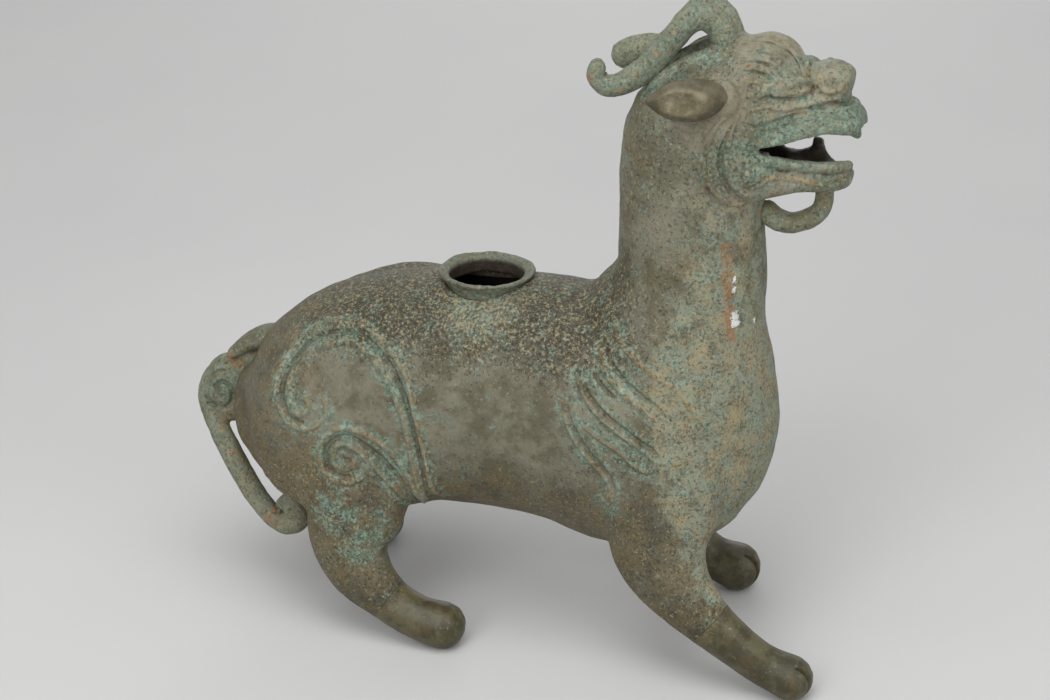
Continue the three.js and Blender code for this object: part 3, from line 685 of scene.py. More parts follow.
# Darker along the top of the back, at the end of the rump, round the leg joints and on the haunch; low on the
# body the darkening is a painted shade under the belly.
dark = (0.95 * top * (1 - 0.7 * around_hole) + 0.75 * low * (1 - 0.6 * front) + 0.55 * ease(-x, 92, 122)
        + 0.35 * joint + 0.15 * spot(drawn, -72, -46, 118, 30))
grain = 0.45 + 0.55 * top + 0.15 * front - 0.4 * middle + 0.15 * (1 - ease(z, 70, 96))
warm = 0.55 * low + 0.4 * ease(-x, 70, 110) + 0.35 * front * (1 - ease(z, 70, 100))
paint_bronze(body_piece, (ridge, groove, inside_of(co, body_surface), 0), (green, front, soil, 0),
             (dark, grain, strongest(drawn, NECK_RESIDUE), strongest(drawn, NECK_RUST)), warm)

# %% [markdown]
# The head is the most worked part: a swirl of combed hair on the forehead, a heavy nose, thick lips that
# curl at their tips, and a double frill behind the cheek. It is melted from more and smaller lumps than
# the body. The mouth is open to the hollow, so that wine pours out between the jaws.

# %% Lumps of the head
HEAD_VOXEL = 0.85
HEAD_SEAMS = ((3.5, 3), (2.5, 4), (1.5, 5))
SKULL = [(66, 0, 256, 18, 24), (84, 0, 260, 26, 29), (100, 0, 266, 28.5, 27), (111, 0, 268, 24, 22.5),
         (121, 0, 267, 15.5, 18.5), (132, 0, 262.8, 9.6, 15.5), (142, 0, 261.3, 8.7, 13)]
NOSE = [(125, 0, 274.5, 8.5, 11), (132.5, 0, 276, 10, 12.5), (139, 0, 274.5, 8.8, 11.3)]
JAW = [(86, 0, 233, 13, 23), (104, 0, 236, 12.5, 21), (120, 0, 237.2, 9.3, 17), (133, 0, 236.8, 8, 13.5),
       (140.5, 0, 237.2, 6.8, 9.8)]
JAW_SQUARE = 2.8
# Rolls are x, y on the left side, z and radius.
UPPER_LIP = [(108, 21, 252, 3), (119, 18.5, 256.5, 3.5), (130, 15.8, 260.5, 3.8), (140, 13.5, 261.5, 4),
             (144, 9, 260, 3.8), (145.5, 7.5, 256.8, 2.8)]
LOWER_LIP = [(108, 20.5, 246, 2.4), (119, 17.5, 244.8, 2.6), (129.5, 14.5, 243, 2.6), (138, 11, 242.6, 2.8),
             (142.6, 5.5, 242, 2.8)]
# The strand of hair below each horn runs from the nape to the horn's root.
STRAND = [(53, 10.5, 264, 3), (58, 12, 270.5, 3.8), (63, 12.5, 276, 4.2), (73, 12, 282.3, 4.4),
          (81, 10.5, 285.8, 4.6), (88, 8.5, 288, 4.6)]
BROW = [(97, 22, 277, 2.5), (106, 21.5, 276.5, 3), (114, 19.5, 278.5, 3), (121, 15, 281, 2.5),
        (126, 12, 279.6, 2)]
CHEEK = (92, 12, 243, 15, 14, 17)
HAIR = (105.5, 0, 280.5, 15.5, 21, 15.5)
NAPE_HAIR = (69, 0, 268, 12, 13, 11.5)
LIP_FRONT = (144.5, 0, 260.5, 3.6, 9, 4)
EYE = (113, 17.5, 273.5, 5, 3.5, 3.2)
EAR_SEAT = (91, 27, 273.5, 8, 5, 9)
CHEEK_BOSS = (103, 16.5, 238.5, 8.7, 8, 8.7)
HORN_RADIUS = 6
HORN_ROOT_WIDER = 1.06  # how many times as wide as the horn its root in the head is
HORN_FIRST_OUT = 6.5  # from the middle of the head to the middle of a horn's root
# A row of a horn is x, how far it leans outwards, z, and its share of the horn's radius.
HORN = [(89, 0, 284, 1.0), (87.5, 0, 292, 0.98), (84.7, 0.1, 298.8, 0.97), (78.5, 0.9, 302.9, 0.99),
        (72.3, 2.3, 301, 0.96), (67, 3.5, 295.2, 0.92), (61.6, 4.5, 287.9, 0.92), (56.3, 5.5, 281.4, 0.92),
        (50, 6.5, 275.8, 0.9), (43.5, 7.5, 272.3, 0.85), (37.5, 8.5, 271.8, 0.8), (33.8, 9.5, 275.5, 0.75),
        (34.5, 10.3, 280.5, 0.6)]


def head_lumps():
    made = Lumps()

    def add_roll(rows, side, rings=24):
        """A thick line of clay with round ends."""
        made.add_loft([(x, side * y, z, r, r) for x, y, z, r in rows], rings=rings, sides=16,
                      start=0.9, end=0.9)

    made.add(neck_lump(1))
    made.add_loft(SKULL, rings=30, sides=48, start=0.8, end=0.45)
    made.add_loft(NOSE, rings=14, sides=40, square=2.6, start=0.3, end=0.3)
    made.add_loft(JAW, rings=24, sides=44, square=JAW_SQUARE, start=0.5, end=0.6)
    for shape in mirrored([CHEEK], RIGHT) + [CHEEK, HAIR, NAPE_HAIR, LIP_FRONT]:
        made.add_ball(*shape)
    for side in (RIGHT, LEFT):
        for rows in (UPPER_LIP, LOWER_LIP, BROW, STRAND):
            add_roll(rows, side)
        for shape in mirrored([EYE, EAR_SEAT, CHEEK_BOSS], side):
            made.add_ball(*shape)
        add_roll([(x, HORN_FIRST_OUT + out, z, HORN_RADIUS * share * HORN_ROOT_WIDER)
                  for x, out, z, share in HORN[:2]], side, rings=6)
    return made


head = head_lumps().melt(HEAD_VOXEL, HEAD_SEAMS)
head_surface = BVHTree.FromBMesh(head)
print("head skin:", len(head.verts), "points")

# %% [markdown]
# The mouth is a wedge that opens towards the front. On the near side it is open all the way, and on the
# far side a part of the wall near the front was never opened, which shows dark behind the lips.

# %% Mouth, trough and throat
# Rows of the mouth are x, z and half height.
MOUTH = [(106.5, 250, 1.2), (117, 250.6, 3.8), (129, 251.6, 6.2), (138, 251.8, 7), (147, 249.4, 5),
         (158, 249.4, 5)]
FAR_WALL = (121.5, 132)  # where along the far side the wall stays closed


def mouth_wedge(bm, rows, middle_y, half_width):
    loft(bm, [(x, middle_y, z, half_height, half_width) for x, z, half_height in rows], rings=12, sides=24,
         square=3.5)


hollows = bmesh.new()
loft(hollows, shrunk(NECK), rings=24, sides=36, start=0.4, end=0.4)
loft(hollows, shrunk(SKULL[:5]), rings=16, sides=32, start=0.6, end=0.5)
raised_jaw = [(x, y, z + 1.5 * WALL, depth, width) for x, y, z, depth, width in shrunk(JAW)]
loft(hollows, raised_jaw, rings=14, sides=32, square=JAW_SQUARE, start=0.5, end=0.4)
mouth_wedge(hollows, MOUTH, -15, 23)
mouth_wedge(hollows, [(106.5, 246, 2), (113, 245.5, 6.5), (FAR_WALL[0], 247.5, 6)], 18, 20)
mouth_wedge(hollows, [(FAR_WALL[1], 249.5, 8), (138, 247.5, 11), (147, 246.5, 11), (158, 247, 10)], 18, 20)
head = cut_away(head, melted(hollows, HEAD_VOXEL))
head = melted(head, HEAD_VOXEL)
soften(head, 2)
print("head with its mouth:", len(head.verts), "points")

# %% Relief of the head
# A line here is drawn in space, so its points are x, y and z.
HEAD_LINES = [
    # edge of the combed hair, its strands and the brow
    ([(112.2, 4.4, 293.8), (117.7, 4.8, 288.6), (121.8, -0.9, 284.3), (124.5, -8.8, 281),
      (124.8, -11.6, 277.7), (121.9, -15.5, 276.1), (117.4, -17.8, 276.5), (112.7, -19.3, 277.8),
      (108.8, -20.3, 279)],
     1.4, 0.8, 0.6, 0.5),
    ([(96.3, -5.3, 292.8), (103.3, -7.6, 294.4), (110.8, -8.4, 293.6), (116.5, -7.2, 289.5),
      (120, -7.2, 284.4), (121.7, -11.4, 280.7)], 0.9, -0.5, 0.3, 0.3),
    ([(96.1, -11.7, 290.4), (102.9, -13.4, 291.9), (109.6, -14.2, 291), (114.8, -13.1, 287.8),
      (118.1, -12.2, 283.2), (119.1, -14.5, 279.8)], 0.9, -0.55, 0.3, 0.3),
    ([(96.7, -16.2, 287.6), (103, -17.5, 288.5), (108.8, -18, 287.5), (113.2, -17, 284.6),
      (115.7, -16.1, 280.8)],
     0.9, -0.55, 0.3, 0.3),
    ([(97.8, -19.3, 284.4), (102.8, -19.8, 284.6), (107.8, -20.3, 283.5), (111.7, -19, 280.5)],
     0.9, -0.5, 0.3, 0.3),
    ([(100.1, -22, 280.4), (104.9, -21.3, 279.8), (108.9, -20.7, 278.3), (113.7, -19.6, 276.3),
      (119, -17.4, 275.6)], 1.3, 0.7, 0.4, 0.5),
    ([(104.9, -24.2, 272.3), (109.3, -21.9, 275.3), (114.6, -20.1, 274.4), (120, -17.9, 273.4),
      (124.3, -15, 274.5), (126.5, -11.5, 276.1)], 1.1, -0.7, 0.5, 0.4),
    # ridge under the eye, running forward below the nose, and the upper edge of the lip
    ([(103.6, -25.2, 269.1), (108.9, -23, 270.6), (115, -20.6, 269.6), (121, -18.2, 270.2),
      (126.2, -15.6, 271.1), (132, -11.9, 272.5), (137.5, -11.4, 273.7)], 1.4, 0.8, 0.5, 0.5),
    ([(124, -17, 269.4), (130.5, -14.3, 270), (136.5, -12.4, 270.6), (141, -7, 270), (142.4, -0.6, 269.8)],
     1.2, -1.1, 0.4, 1),
    ([(100.1, -26.8, 264.3), (106.2, -24.4, 262.3), (112.1, -21.5, 263.6), (118.1, -19.3, 266),
      (125, -17.1, 267.3)], 1.0, -0.6, 0.4, 0.5),
    # frill behind the cheek, and the round boss in it
    ([(92.7, -27.7, 267.2), (88.2, -28.6, 260.3), (84.9, -27.5, 252.8), (83.8, -28.7, 246.3),
      (83.8, -28.1, 240), (86.2, -26.8, 233.8), (90.2, -24.9, 228.7), (95.4, -21.6, 225.4),
      (99.6, -17.3, 224.8)],
     2.0, 1.5, 0.5, 0.4),
    ([(94.3, -27.9, 259.8), (91.9, -27, 253.4), (90.8, -26.1, 246.1), (91.4, -25.6, 239.9),
      (93.5, -23.8, 234.3), (96.5, -21.1, 229.3), (101.3, -17.6, 226.4)], 1.4, -1.2, 0.4, 0.4),
    ([(98.3, -26.9, 267.5), (95.5, -27.6, 259), (93.7, -25.6, 251.4), (93.5, -25.6, 245.3),
      (94.9, -25.4, 239.3), (97.5, -23, 233), (102, -19, 229.5)], 1.5, 1.2, 0.3, 0.4),
    # edges of the lower jaw's stripe
    ([(107, -16.5, 243.3), (115.1, -15.3, 241.9), (125.7, -14.2, 240.6), (135.2, -11.4, 240.4),
      (142.5, -6.2, 241.5)], 1.0, -0.7, 0.3, 0.4),
    ([(104.1, -20.9, 235.2), (111.9, -18.9, 237.9), (119.8, -16.9, 238), (127.8, -14.9, 236.4),
      (134.8, -12.2, 234)], 1.5, 0.5, 0.3, 0.4),
    # wing of the nose, and its root
    ([(131.7, -4.4, 285.4), (129.3, -8.9, 283.2), (129.2, -11.5, 278.9), (132.7, -12.5, 276.2),
      (137.4, -11.5, 277.1), (139.4, -9.9, 280.2)], 1.3, 0.8, 0.5, 0.5),
    ([(123.1, -1.1, 283.2), (124.1, -8.6, 280.9), (126, -11.3, 276.9), (127, -13.8, 273.5)],
     1.3, -0.9, 0.7, 0.4),
]
# Places of the head's patina, on the left side: x, y, z and radius.
MENDED = [(93, 28, 272, 15), (82, 29, 260, 14)]
CHEEK_GREEN = [(94, 26, 246, 21)]
STRAND_GREEN = [(58, 14, 274, 12), (68, 14, 281, 12), (78, 14, 288, 12), (86, 14, 291, 12)]
BOSS_DARK = [(103.5, 24, 239, 9.5)]
HAIR_RUST = [(99, 20, 284, 8)]

head_lines = [line for side in (RIGHT, LEFT) for line in lines_in_metres(
    HEAD_LINES, lambda points: laid_nearest(points, head_surface, side), *HEAD_RELIEF)]
refine_near_lines(head, head_lines, 0.2)
raise_relief(head, head_lines, HAND_MARKS["head"])
head = cut_away(head, neck_joint_block(-1))
head_piece = make_piece("head_dressed", head, ["head_shell"])
co, drawn = drawn_points(head_piece)
x, y, z = drawn.T
ridge, groove = height_of_lines(co, head_lines)[:2]
normals = np.array([v.normal for v in head_piece.data.vertices])
# Walls of the mouth that look inwards get the same painted shade as the inside of the hollow.
looks_inwards = (abs(y) < 19) * (normals[:, 1] * np.sign(y) < -0.25)
mouth_wall = looks_inwards * (x > 106) * (x < 139) * (z > 238) * (z < 260)
inside = np.maximum(inside_of(co, head_surface), mouth_wall)
face = ease(x, 96, 108)
lips = ease(x, 104, 110) * (1 - ease(abs(z - 252 - 0.2 * (x - 110)), 9, 13))
cheek = on_both_sides(drawn, CHEEK_GREEN)
strand = on_both_sides(drawn, STRAND_GREEN)
hair = spot(drawn, 106, 0, 292, 22)
nape = 1 - ease(x, 56, 82)
green = 0.22 + 0.3 * face + 0.5 * lips + 0.4 * cheek + 0.4 * strand - 0.3 * hair + 0.1 * nape
crust = 0.75 * ease(x - 79, -4, 8) * (1 - ease(z, 224, 234)) + 0.35 * lips
soil = 0.3 + 0.35 * face - 0.1 * lips + 0.2 * cheek
dark = 0.3 * nape + 0.1 * cheek + 0.75 * on_both_sides(drawn, BOSS_DARK)
grain = 0.55 + 0.25 * cheek - 0.2 * hair
warm = 0.35 * nape + 0.4 * hair + 0.3 * ease(244 - z, 0, 8) * face
paint_bronze(head_piece, (ridge, groove, inside, 0.9 * on_both_sides(drawn, MENDED)),
             (green, crust, soil, 0), (dark, grain, 0, 0.5 * on_both_sides(drawn, HAIR_RUST)), warm)

# %% [markdown]
# The horns rise from the hair, arch back and curl up behind the neck, like a goat's. The left one ends in
# a stub. Each is one rod of clay, rolled and bent, so it is a loft along its own curve.

# %% Horns
# The left horn ends in a thick stub instead of a curl.
STUB = [(56.5, 5.5, 282.8, 0.95), (50, 6.5, 281.4, 1.03), (43.5, 7.2, 279.2, 1.12),
        (38.8, 7.8, 276.8, 1.08)]
HORNS = {"right": HORN, "left": HORN[:7] + STUB}


def horn_rows(side):
    return [(x, SIDES[side] * (HORN_FIRST_OUT + out), z, HORN_RADIUS * share, HORN_RADIUS * share)
            for x, out, z, share in HORNS[side]]


# Places where the corrosion is rubbed down to the copper: x, z and radius.
COPPER = [(31.5, 275.5, 4.6), (60, 288, 3.2), (45, 270.5, 2.6)]

for side in SIDES:
    horn = bmesh.new()
    loft(horn, horn_rows(side), rings=110, sides=40, start=0.3, end=0.9)
    face_outwards(horn)
    raise_relief(horn, [], HAND_MARKS["horn"])
    horn_piece = make_piece("horn_dressed_" + side, horn, ["horn_" + side])
    seen_from_side = drawn_points(horn_piece)[1] * (1, 0, 1)
    worn = strongest(seen_from_side, [(x, 0, z, radius) for x, z, radius in COPPER])
    tint = (0.62, 0.45, 0.35, worn) if side == "right" else (0.35, 0.35, 0.6, 0)
    paint_bronze(horn_piece, (0, 0, 0, 0), tint, (0, 0.6, 0, 0), 0.1)

# %% [markdown]
# The ears look like later replacements in smooth metal: a leaf that lies back along the head, hollowed
# on its outer side. The leaf is melted after the hollow is scooped out, which rounds its rim.

# %% Ears
EAR = [(92.5, 29, 275.2, 4, 3), (87, 32, 275.2, 8, 4.5), (78, 34.8, 274.4, 9.6, 4.8),
       (68.5, 36.3, 273.6, 7.2, 4), (61.8, 36.8, 273.4, 2.6, 2.2)]
EAR_SCOOP = (78, 42.3, 274, 13, 5.6, 6.3)
EAR_VOXEL = 0.45

for side, sign in SIDES.items():
    leaf = bmesh.new()
    loft(leaf, mirrored(EAR, sign), rings=40, sides=40, start=0.6, end=0.8)
    face_outwards(leaf)
    scoop = bmesh.new()
    ball(scoop, *mirrored([EAR_SCOOP], sign)[0])
    ear = melted(cut_away(leaf, scoop), EAR_VOXEL)
    soften(ear, 6)
    raise_relief(ear, [], HAND_MARKS["ear"])
    ear_piece = make_piece("ear_dressed_" + side, ear, ["ear_" + side])
    drawn = drawn_points(ear_piece)[1]
    rim = ease(np.hypot((drawn[:, 0] - 77.5) / 15, (drawn[:, 2] - 274.2) / 8.6), 0.6, 0.85)
    paint(ear_piece, "form", 0, 0.75 * rim, 0, 0)
    paint(ear_piece, "tint", 0, 0, 0.12, 0)

# %% [markdown]
# The beard is a bar that grows from the chin and loops back to the throat. The tail has a leaf-shaped
# flap at its root, a swelling with a spiral, and a thin end that curls up beside the leg.

# %% Beard and tail
BEARD_RADIUS, BEARD_WIDER = 4.2, 1.2
BEARD = [(131, 233, 1), (132.5, 226, 0.95), (131, 219, 1), (125.5, 213.8, 1.05), (118.5, 211.4, 1.1),
         (112, 212.4, 1.15), (107.3, 215.6, 1.1)]
TAIL_RADIUS = 5.4
# A row of the tail is x, how far it lies to the right, z, and its share of the tail's radius.
TAIL = [(-132, 0, 108, 1.3), (-145, 1, 109.5, 1.5), (-155, 3, 104, 1.45), (-159, 6, 94, 1.2),
        (-155.2, 9, 81.5, 1), (-146, 13, 67, 1), (-136.5, 17, 54, 1), (-126.5, 21, 45, 1),
        (-116, 24.5, 40.5, 0.95), (-108.5, 25.5, 43.5, 0.9), (-108, 25.5, 50, 0.85), (-113, 24.5, 53.5, 0.75),
        (-117.5, 23.5, 50.5, 0.6)]
# Balls that fill out the tail's swelling, its root and its curled tip.
TAIL_BALLS = [(-150.5, -3, 99, 12.5, 9.5, 18), (-140, -2, 95, 9, 8, 15), (-136, -1, 118, 9, 8, 9),
              (-110.5, -24.5, 50.5, 6.2, 6, 9)]
SPIRAL_MIDDLE = (-151, 100)
SPIRAL_TURNS = 1.6
SPIRAL_OUTER, SPIRAL_INNER = 10, 1.2
SPIRAL_STEPS = 40
SPIRAL_GROOVE = (1.6, 1.7)  # its half width and depth
TAIL_FLAP = [(-126, 0, 128.5, 5, 9), (-133, -1, 127, 5.2, 10.5), (-140, -2.5, 123.5, 4.2, 10),
             (-147.5, -4, 118, 2.6, 6.5)]
TAIL_VOXEL = 0.6
TAIL_SEAMS = ((3, 4), (1.5, 4))
TAIL_RUST = [(-145, -8, 117, 9), (-150, -12, 84, 7), (-146, -14, 70, 6), (-122, -27, 44, 9)]

beard = bmesh.new()
loft(beard, [(x, 0, z, BEARD_RADIUS * s, BEARD_RADIUS * s * BEARD_WIDER) for x, z, s in BEARD],
     rings=90, sides=36, start=0.5, end=0.9)
face_outwards(beard)
raise_relief(beard, [], HAND_MARKS["beard"])
beard_piece = make_piece("beard_dressed", beard, ["beard_loop"])
paint_bronze(beard_piece, (0, 0, 0, 0), (0.4, 0.2, 0.5, 0), (0.15, 0.6, 0, 0), 0.5)

tail_lumps = Lumps()
tail_lumps.add_loft([(x, RIGHT * y, z, TAIL_RADIUS * s, TAIL_RADIUS * s) for x, y, z, s in TAIL],
                    rings=110, sides=32, start=0.6, end=0.9)
for shape in TAIL_BALLS:
    tail_lumps.add_ball(*shape)
tail_lumps.add_loft(TAIL_FLAP, rings=20, sides=32, start=0.4, end=0.7)
tail = tail_lumps.melt(TAIL_VOXEL, TAIL_SEAMS)
tail_surface = BVHTree.FromBMesh(tail)


def spiral(sign):
    """A spiral on one side of the tail's swelling, from the outside in."""
    points = []
    for step in range(SPIRAL_STEPS):
        share = step / (SPIRAL_STEPS - 1)
        angle = math.radians(80) + share * SPIRAL_TURNS * math.tau
        reach = SPIRAL_OUTER - (SPIRAL_OUTER - SPIRAL_INNER) * share
        points.append((SPIRAL_MIDDLE[0] + reach * math.cos(angle), sign * 12,
                       SPIRAL_MIDDLE[1] + 1.2 * reach * math.sin(angle)))
    return np.array([tail_surface.find_nearest(Vector(p))[0] for p in placed(points)])


half_width, depth = SPIRAL_GROOVE
tail_lines = [(spiral(sign), half_width * MM, -depth * MM, 0.6, 0.6) for sign in (RIGHT, LEFT)]
raise_relief(tail, tail_lines, HAND_MARKS["tail"])
tail_piece = make_piece("tail_dressed", tail, ["tail"])
co, drawn = drawn_points(tail_piece)
ridge, groove = height_of_lines(co, tail_lines)[:2]
soil = (0.35 + 0.6 * spot(drawn, -145, -10, 118, 10) + 0.5 * spot(drawn, -148, -10, 86, 9)
        + 0.5 * spot(drawn, -114, -28, 44, 9))
dark = 0.15 + 0.55 * ease(drawn[:, 2], 116, 126)
paint_bronze(tail_piece, (ridge, groove, 0, 0), (0.4, 0.25, soil, 0),
             (dark, 0.55, 0, 0.8 * strongest(drawn, TAIL_RUST)), 0.35 + 0.4 * spot(drawn, -140, -10, 60, 24))

# %% [markdown]
# The collar is a piece of its own, greener than the back round it. It is a profile spun round the hole's
# axis: a short tube, a flared lip and a soft rim.

# %% Filling collar
COLLAR = {"bore": 17.2, "tube": 19, "lip": 22.3, "top": 174.2, "thickness": 1.9, "flare": 3.6, "skirt": 7,
          "round": 0.9, "dip": 1.6}
COLLAR_VOXEL = 0.55


def collar_profile():
    """Radius and height in millimetres, from the foot of the bore round the lip to the foot outside."""
    c = COLLAR
    top, lip_foot = c["top"], c["top"] - c["thickness"]
    foot = lip_foot - c["skirt"]
    corners = [(c["bore"], foot), (c["bore"], top - c["dip"] - 1), (c["bore"] + 0.6, top - c["dip"])]
    for a in np.radians(np.linspace(90, -60, 8)):
        corners.append((c["lip"] - c["round"] * (1 - math.cos(a)), top - c["round"] * (1 - math.sin(a))))
    corners += [(c["lip"] - c["round"], lip_foot), (c["tube"], lip_foot - c["flare"]), (c["tube"], foot)]
    return corners


collar = bmesh.new()
ring = [collar.verts.new(placed((HOLE_DRAWN_X + r, 0, h))) for r, h in collar_profile()]
edges = [collar.edges.new((a, b)) for a, b in zip(ring, ring[1:] + ring[:1])]
bmesh.ops.spin(collar, geom=ring + edges, cent=placed((HOLE_DRAWN_X, 0, 0)), axis=(0, 0, 1),
               angle=math.tau, steps=120, use_merge=True)
bmesh.ops.remove_doubles(collar, verts=collar.verts[:], dist=0.01 * MM)
face_outwards(collar)
collar = melted(collar, COLLAR_VOXEL)
soften(collar, 3)
raise_relief(collar, [], HAND_MARKS["collar"])
collar_piece = make_piece("collar_dressed", collar, ["filler_collar"])
drawn = drawn_points(collar_piece)[1]
bore = np.linalg.norm(drawn[:, :2] - (HOLE_DRAWN_X, 0), axis=1)
# The bore below the lip gets the painted shade of the inside.
inside = (1 - ease(bore, 17.4, 18.2)) * (1 - ease(drawn[:, 2], 170, 173))
paint_bronze(collar_piece, (0, 0, inside, 0), (0.35, 0.15, 0.3, 0), (0.6, 0.6, 0, 0), 0.2)

# %% [markdown]
# The lower legs look like restorations, smooth and dark. They go on from the joint in the same curve and
# end in cloven hooves. The hoof's cleft is a groove laid over its front, shallowest at the pastern.

# %% Lower legs
LEG_VOXEL = 0.9
HOOF_BACK, HOOF_TOP = -35, 72  # degrees round the hoof's middle, where the cleft starts and ends
# Millimetres that the cleft lies to the right of the hoof's middle.
CLEFT_NEAR = {"foreleg": 4.5, "hindleg": -2}
CLEFT_HALF_WIDTH, CLEFT_DEPTH = 1.5, 2.6


def cleft(surface, kind, side):
    """A groove over the hoof's front, from the sole to the pastern, bending a little."""
    rows = leg_rows(kind, side)[1]
    x, y, z = rows[-1][:3]
    route = []
    for a in np.radians(np.linspace(HOOF_BACK, HOOF_TOP, 28)):
        outward = Vector((math.cos(a), 0, math.sin(a)))
        middle = Vector(placed((x, y - CLEFT_NEAR[kind] + 1.2 * math.cos(a * 1.6), z)))
        hit = surface.ray_cast(middle + outward * 0.04, -outward)[0]
        if hit is not None:
            route.append(hit)
    return np.array(route)


for kind, side in LEGS:
    at, heading, half_depth = leg_joint(kind, side)
    whole = bmesh.new()
    loft(whole, leg_rows(kind, side)[1], rings=90, sides=48, start=0.7, end=0.95)
    keep_side(whole, at - heading * 2 * MM, heading)
    leg = melted(whole, LEG_VOXEL)
    soften(leg, 4)
    skin = BVHTree.FromBMesh(leg)
    lines = [(cleft(skin, kind, side), CLEFT_HALF_WIDTH * MM, -CLEFT_DEPTH * MM, 1, 0.3)]
    refine_near_lines(leg, lines, 1.0)
    raise_relief(leg, lines, HAND_MARKS["leg"])
    knife = bmesh.new()
    block(knife, Vector((-0.3, -0.1, -0.02)), Vector((0.3, 0.1, 0)))
    bar(knife, at - heading * 0.02, at + heading * JOINT_GAP * MM, half_depth + 8 * MM)
    leg = cut_away(leg, knife)
    name = f"{kind}_lower_{side}"
    leg_piece = make_piece(name + "_dressed", leg, [name])
    co = drawn_points(leg_piece)[0]
    groove = height_of_lines(co, lines)[1]
    along = (co - np.array(at)) @ np.array(heading) / MM
    paint(leg_piece, "form", 0, groove, 0, 0)
    paint(leg_piece, "tint", 0, 0, 0.3 * (1 - ease(along, 2, 9)), 0)

# %% [markdown]
# Bronze that lay in the ground carries layers: brown metal, green and turquoise corrosion, pale crust and
# dry soil. The patina below stacks them in that order. It reads the painted attributes for where each
# layer belongs, and noise at real sizes breaks every border up, so no patch ends in a clean line.

# %% Short calls for a material's nodes
def srgb(red, green, blue):
    """A colour read as 0 to 255 on the screen, in the linear values that shaders use."""
    return tuple((v / 255 / 12.92) if v <= 10 else ((v / 255 + 0.055) / 1.055) ** 2.4
                 for v in (red, green, blue)) + (1.0,)


class Shader:
    """A material under construction. Sizes are in millimetres."""

    def __init__(self, name):
        self.material = bpy.data.materials.new(name)
        self.material.use_nodes = True
        self.tree = self.material.node_tree
        self.surface = self.tree.nodes["Principled BSDF"]
        self.place = self.tree.nodes.new("ShaderNodeTexCoord").outputs["Object"]
        self.seed = 0

    def new(self, kind, inputs=(), **settings):
        node = self.tree.nodes.new(kind)
        for key, value in settings.items():
            setattr(node, key, value)
        for key, value in dict(inputs).items():
            if isinstance(value, bpy.types.NodeSocket):
                self.tree.links.new(value, node.inputs[key])
            else:
                node.inputs[key].default_value = value
        return node

    def shifted(self):
        """The object's coordinates, moved a different way for every noise."""
        self.seed += 1
        by = (self.seed * 1.7, self.seed * 0.9, 0.3)
        return self.new("ShaderNodeVectorMath", {0: self.place, 1: by}, operation="ADD").outputs[0]

    def noise(self, size, detail=3.0, roughness=0.55):
        inputs = {"Vector": self.shifted(), "Scale": 1000 / size, "Detail": detail, "Roughness": roughness}
        return self.new("ShaderNodeTexNoise", inputs).outputs[0]

    def math(self, operation, a, b, clamp=False):
        return self.new("ShaderNodeMath", {0: a, 1: b}, operation=operation, use_clamp=clamp).outputs[0]

    def add(self, a, b):
        return self.math("ADD", a, b)

    def scaled(self, value, share):
        return self.math("MULTIPLY", value, share)

    def blend(self, a, b, share=0.5):
        """Two noises added, with this share of the second one."""
        return self.add(self.scaled(a, 1 - share), self.scaled(b, share))

    def clamped(self, value):
        return self.math("MINIMUM", value, 1.0, clamp=True)

    def spread(self, value, width):
        """A noise moved to swing round zero, this many times wider."""
        return self.math("MULTIPLY", self.math("SUBTRACT", value, 0.5), width)

    def step(self, value, low, high):
        """0 below low, 1 above high."""
        return self.new("ShaderNodeMapRange", {"Value": value, "From Min": low, "From Max": high},
                        interpolation_type="SMOOTHSTEP").outputs[0]

    def mix(self, below, above, share):
        return self.new("ShaderNodeMix", {0: share, 6: below, 7: above}, data_type="RGBA").outputs[2]

    def cover(self, below, above, where, share):
        """A layer laid over a colour where the mask is, at this strength."""
        return self.mix(below, above, self.scaled(where, share))

    def patches(self, broad, grain, low, high):
        """Patches of the broad size whose borders break up into grains."""
        return self.step(self.blend(self.noise(broad, 5, 0.65), self.noise(grain, 5, 0.75)), low, high)

    def painted(self, name):
        """The four channels of a painted attribute."""
        attribute = self.new("ShaderNodeAttribute", attribute_name=name)
        split = self.new("ShaderNodeSeparateColor", {0: attribute.outputs["Color"]})
        return *split.outputs[:3], attribute.outputs["Alpha"]

    def finish(self, colour, roughness, height, depth, metallic=0.0):
        """Colour, roughness (a number or a socket) and a bump of the given depth in millimetres."""
        bump = self.new("ShaderNodeBump", {"Height": height, "Distance": depth * MM, "Strength": 1.0})
        self.tree.links.new(colour, self.surface.inputs["Base Color"])
        if isinstance(roughness, bpy.types.NodeSocket):
            self.tree.links.new(roughness, self.surface.inputs["Roughness"])
        else:
            self.surface.inputs["Roughness"].default_value = roughness
        self.tree.links.new(bump.outputs[0], self.surface.inputs["Normal"])
        self.surface.inputs["Metallic"].default_value = metallic
        return self.material


# %% Corroded bronze
DARK_BROWN = srgb(48, 44, 30)
WARM_BROWN = srgb(112, 97, 62)
TURQUOISE = srgb(124, 152, 138)
DEEP_GREEN = srgb(72, 96, 80)
PALE_CRUST = srgb(166, 168, 148)
GREY_GREEN = srgb(130, 132, 113)
OCHRE = srgb(160, 136, 94)
SAND_SPECK = srgb(146, 136, 104)
PALE_SPECK = srgb(172, 164, 134)
COPPER_RED = srgb(166, 124, 92)
RUST = srgb(146, 102, 62)
RESIDUE = srgb(214, 214, 210)
# the painted shade inside the hollow, the mouth and the collar's bore
HOLLOW_SHADE = srgb(50, 40, 29)
COAT_BROWN = srgb(128, 120, 100)


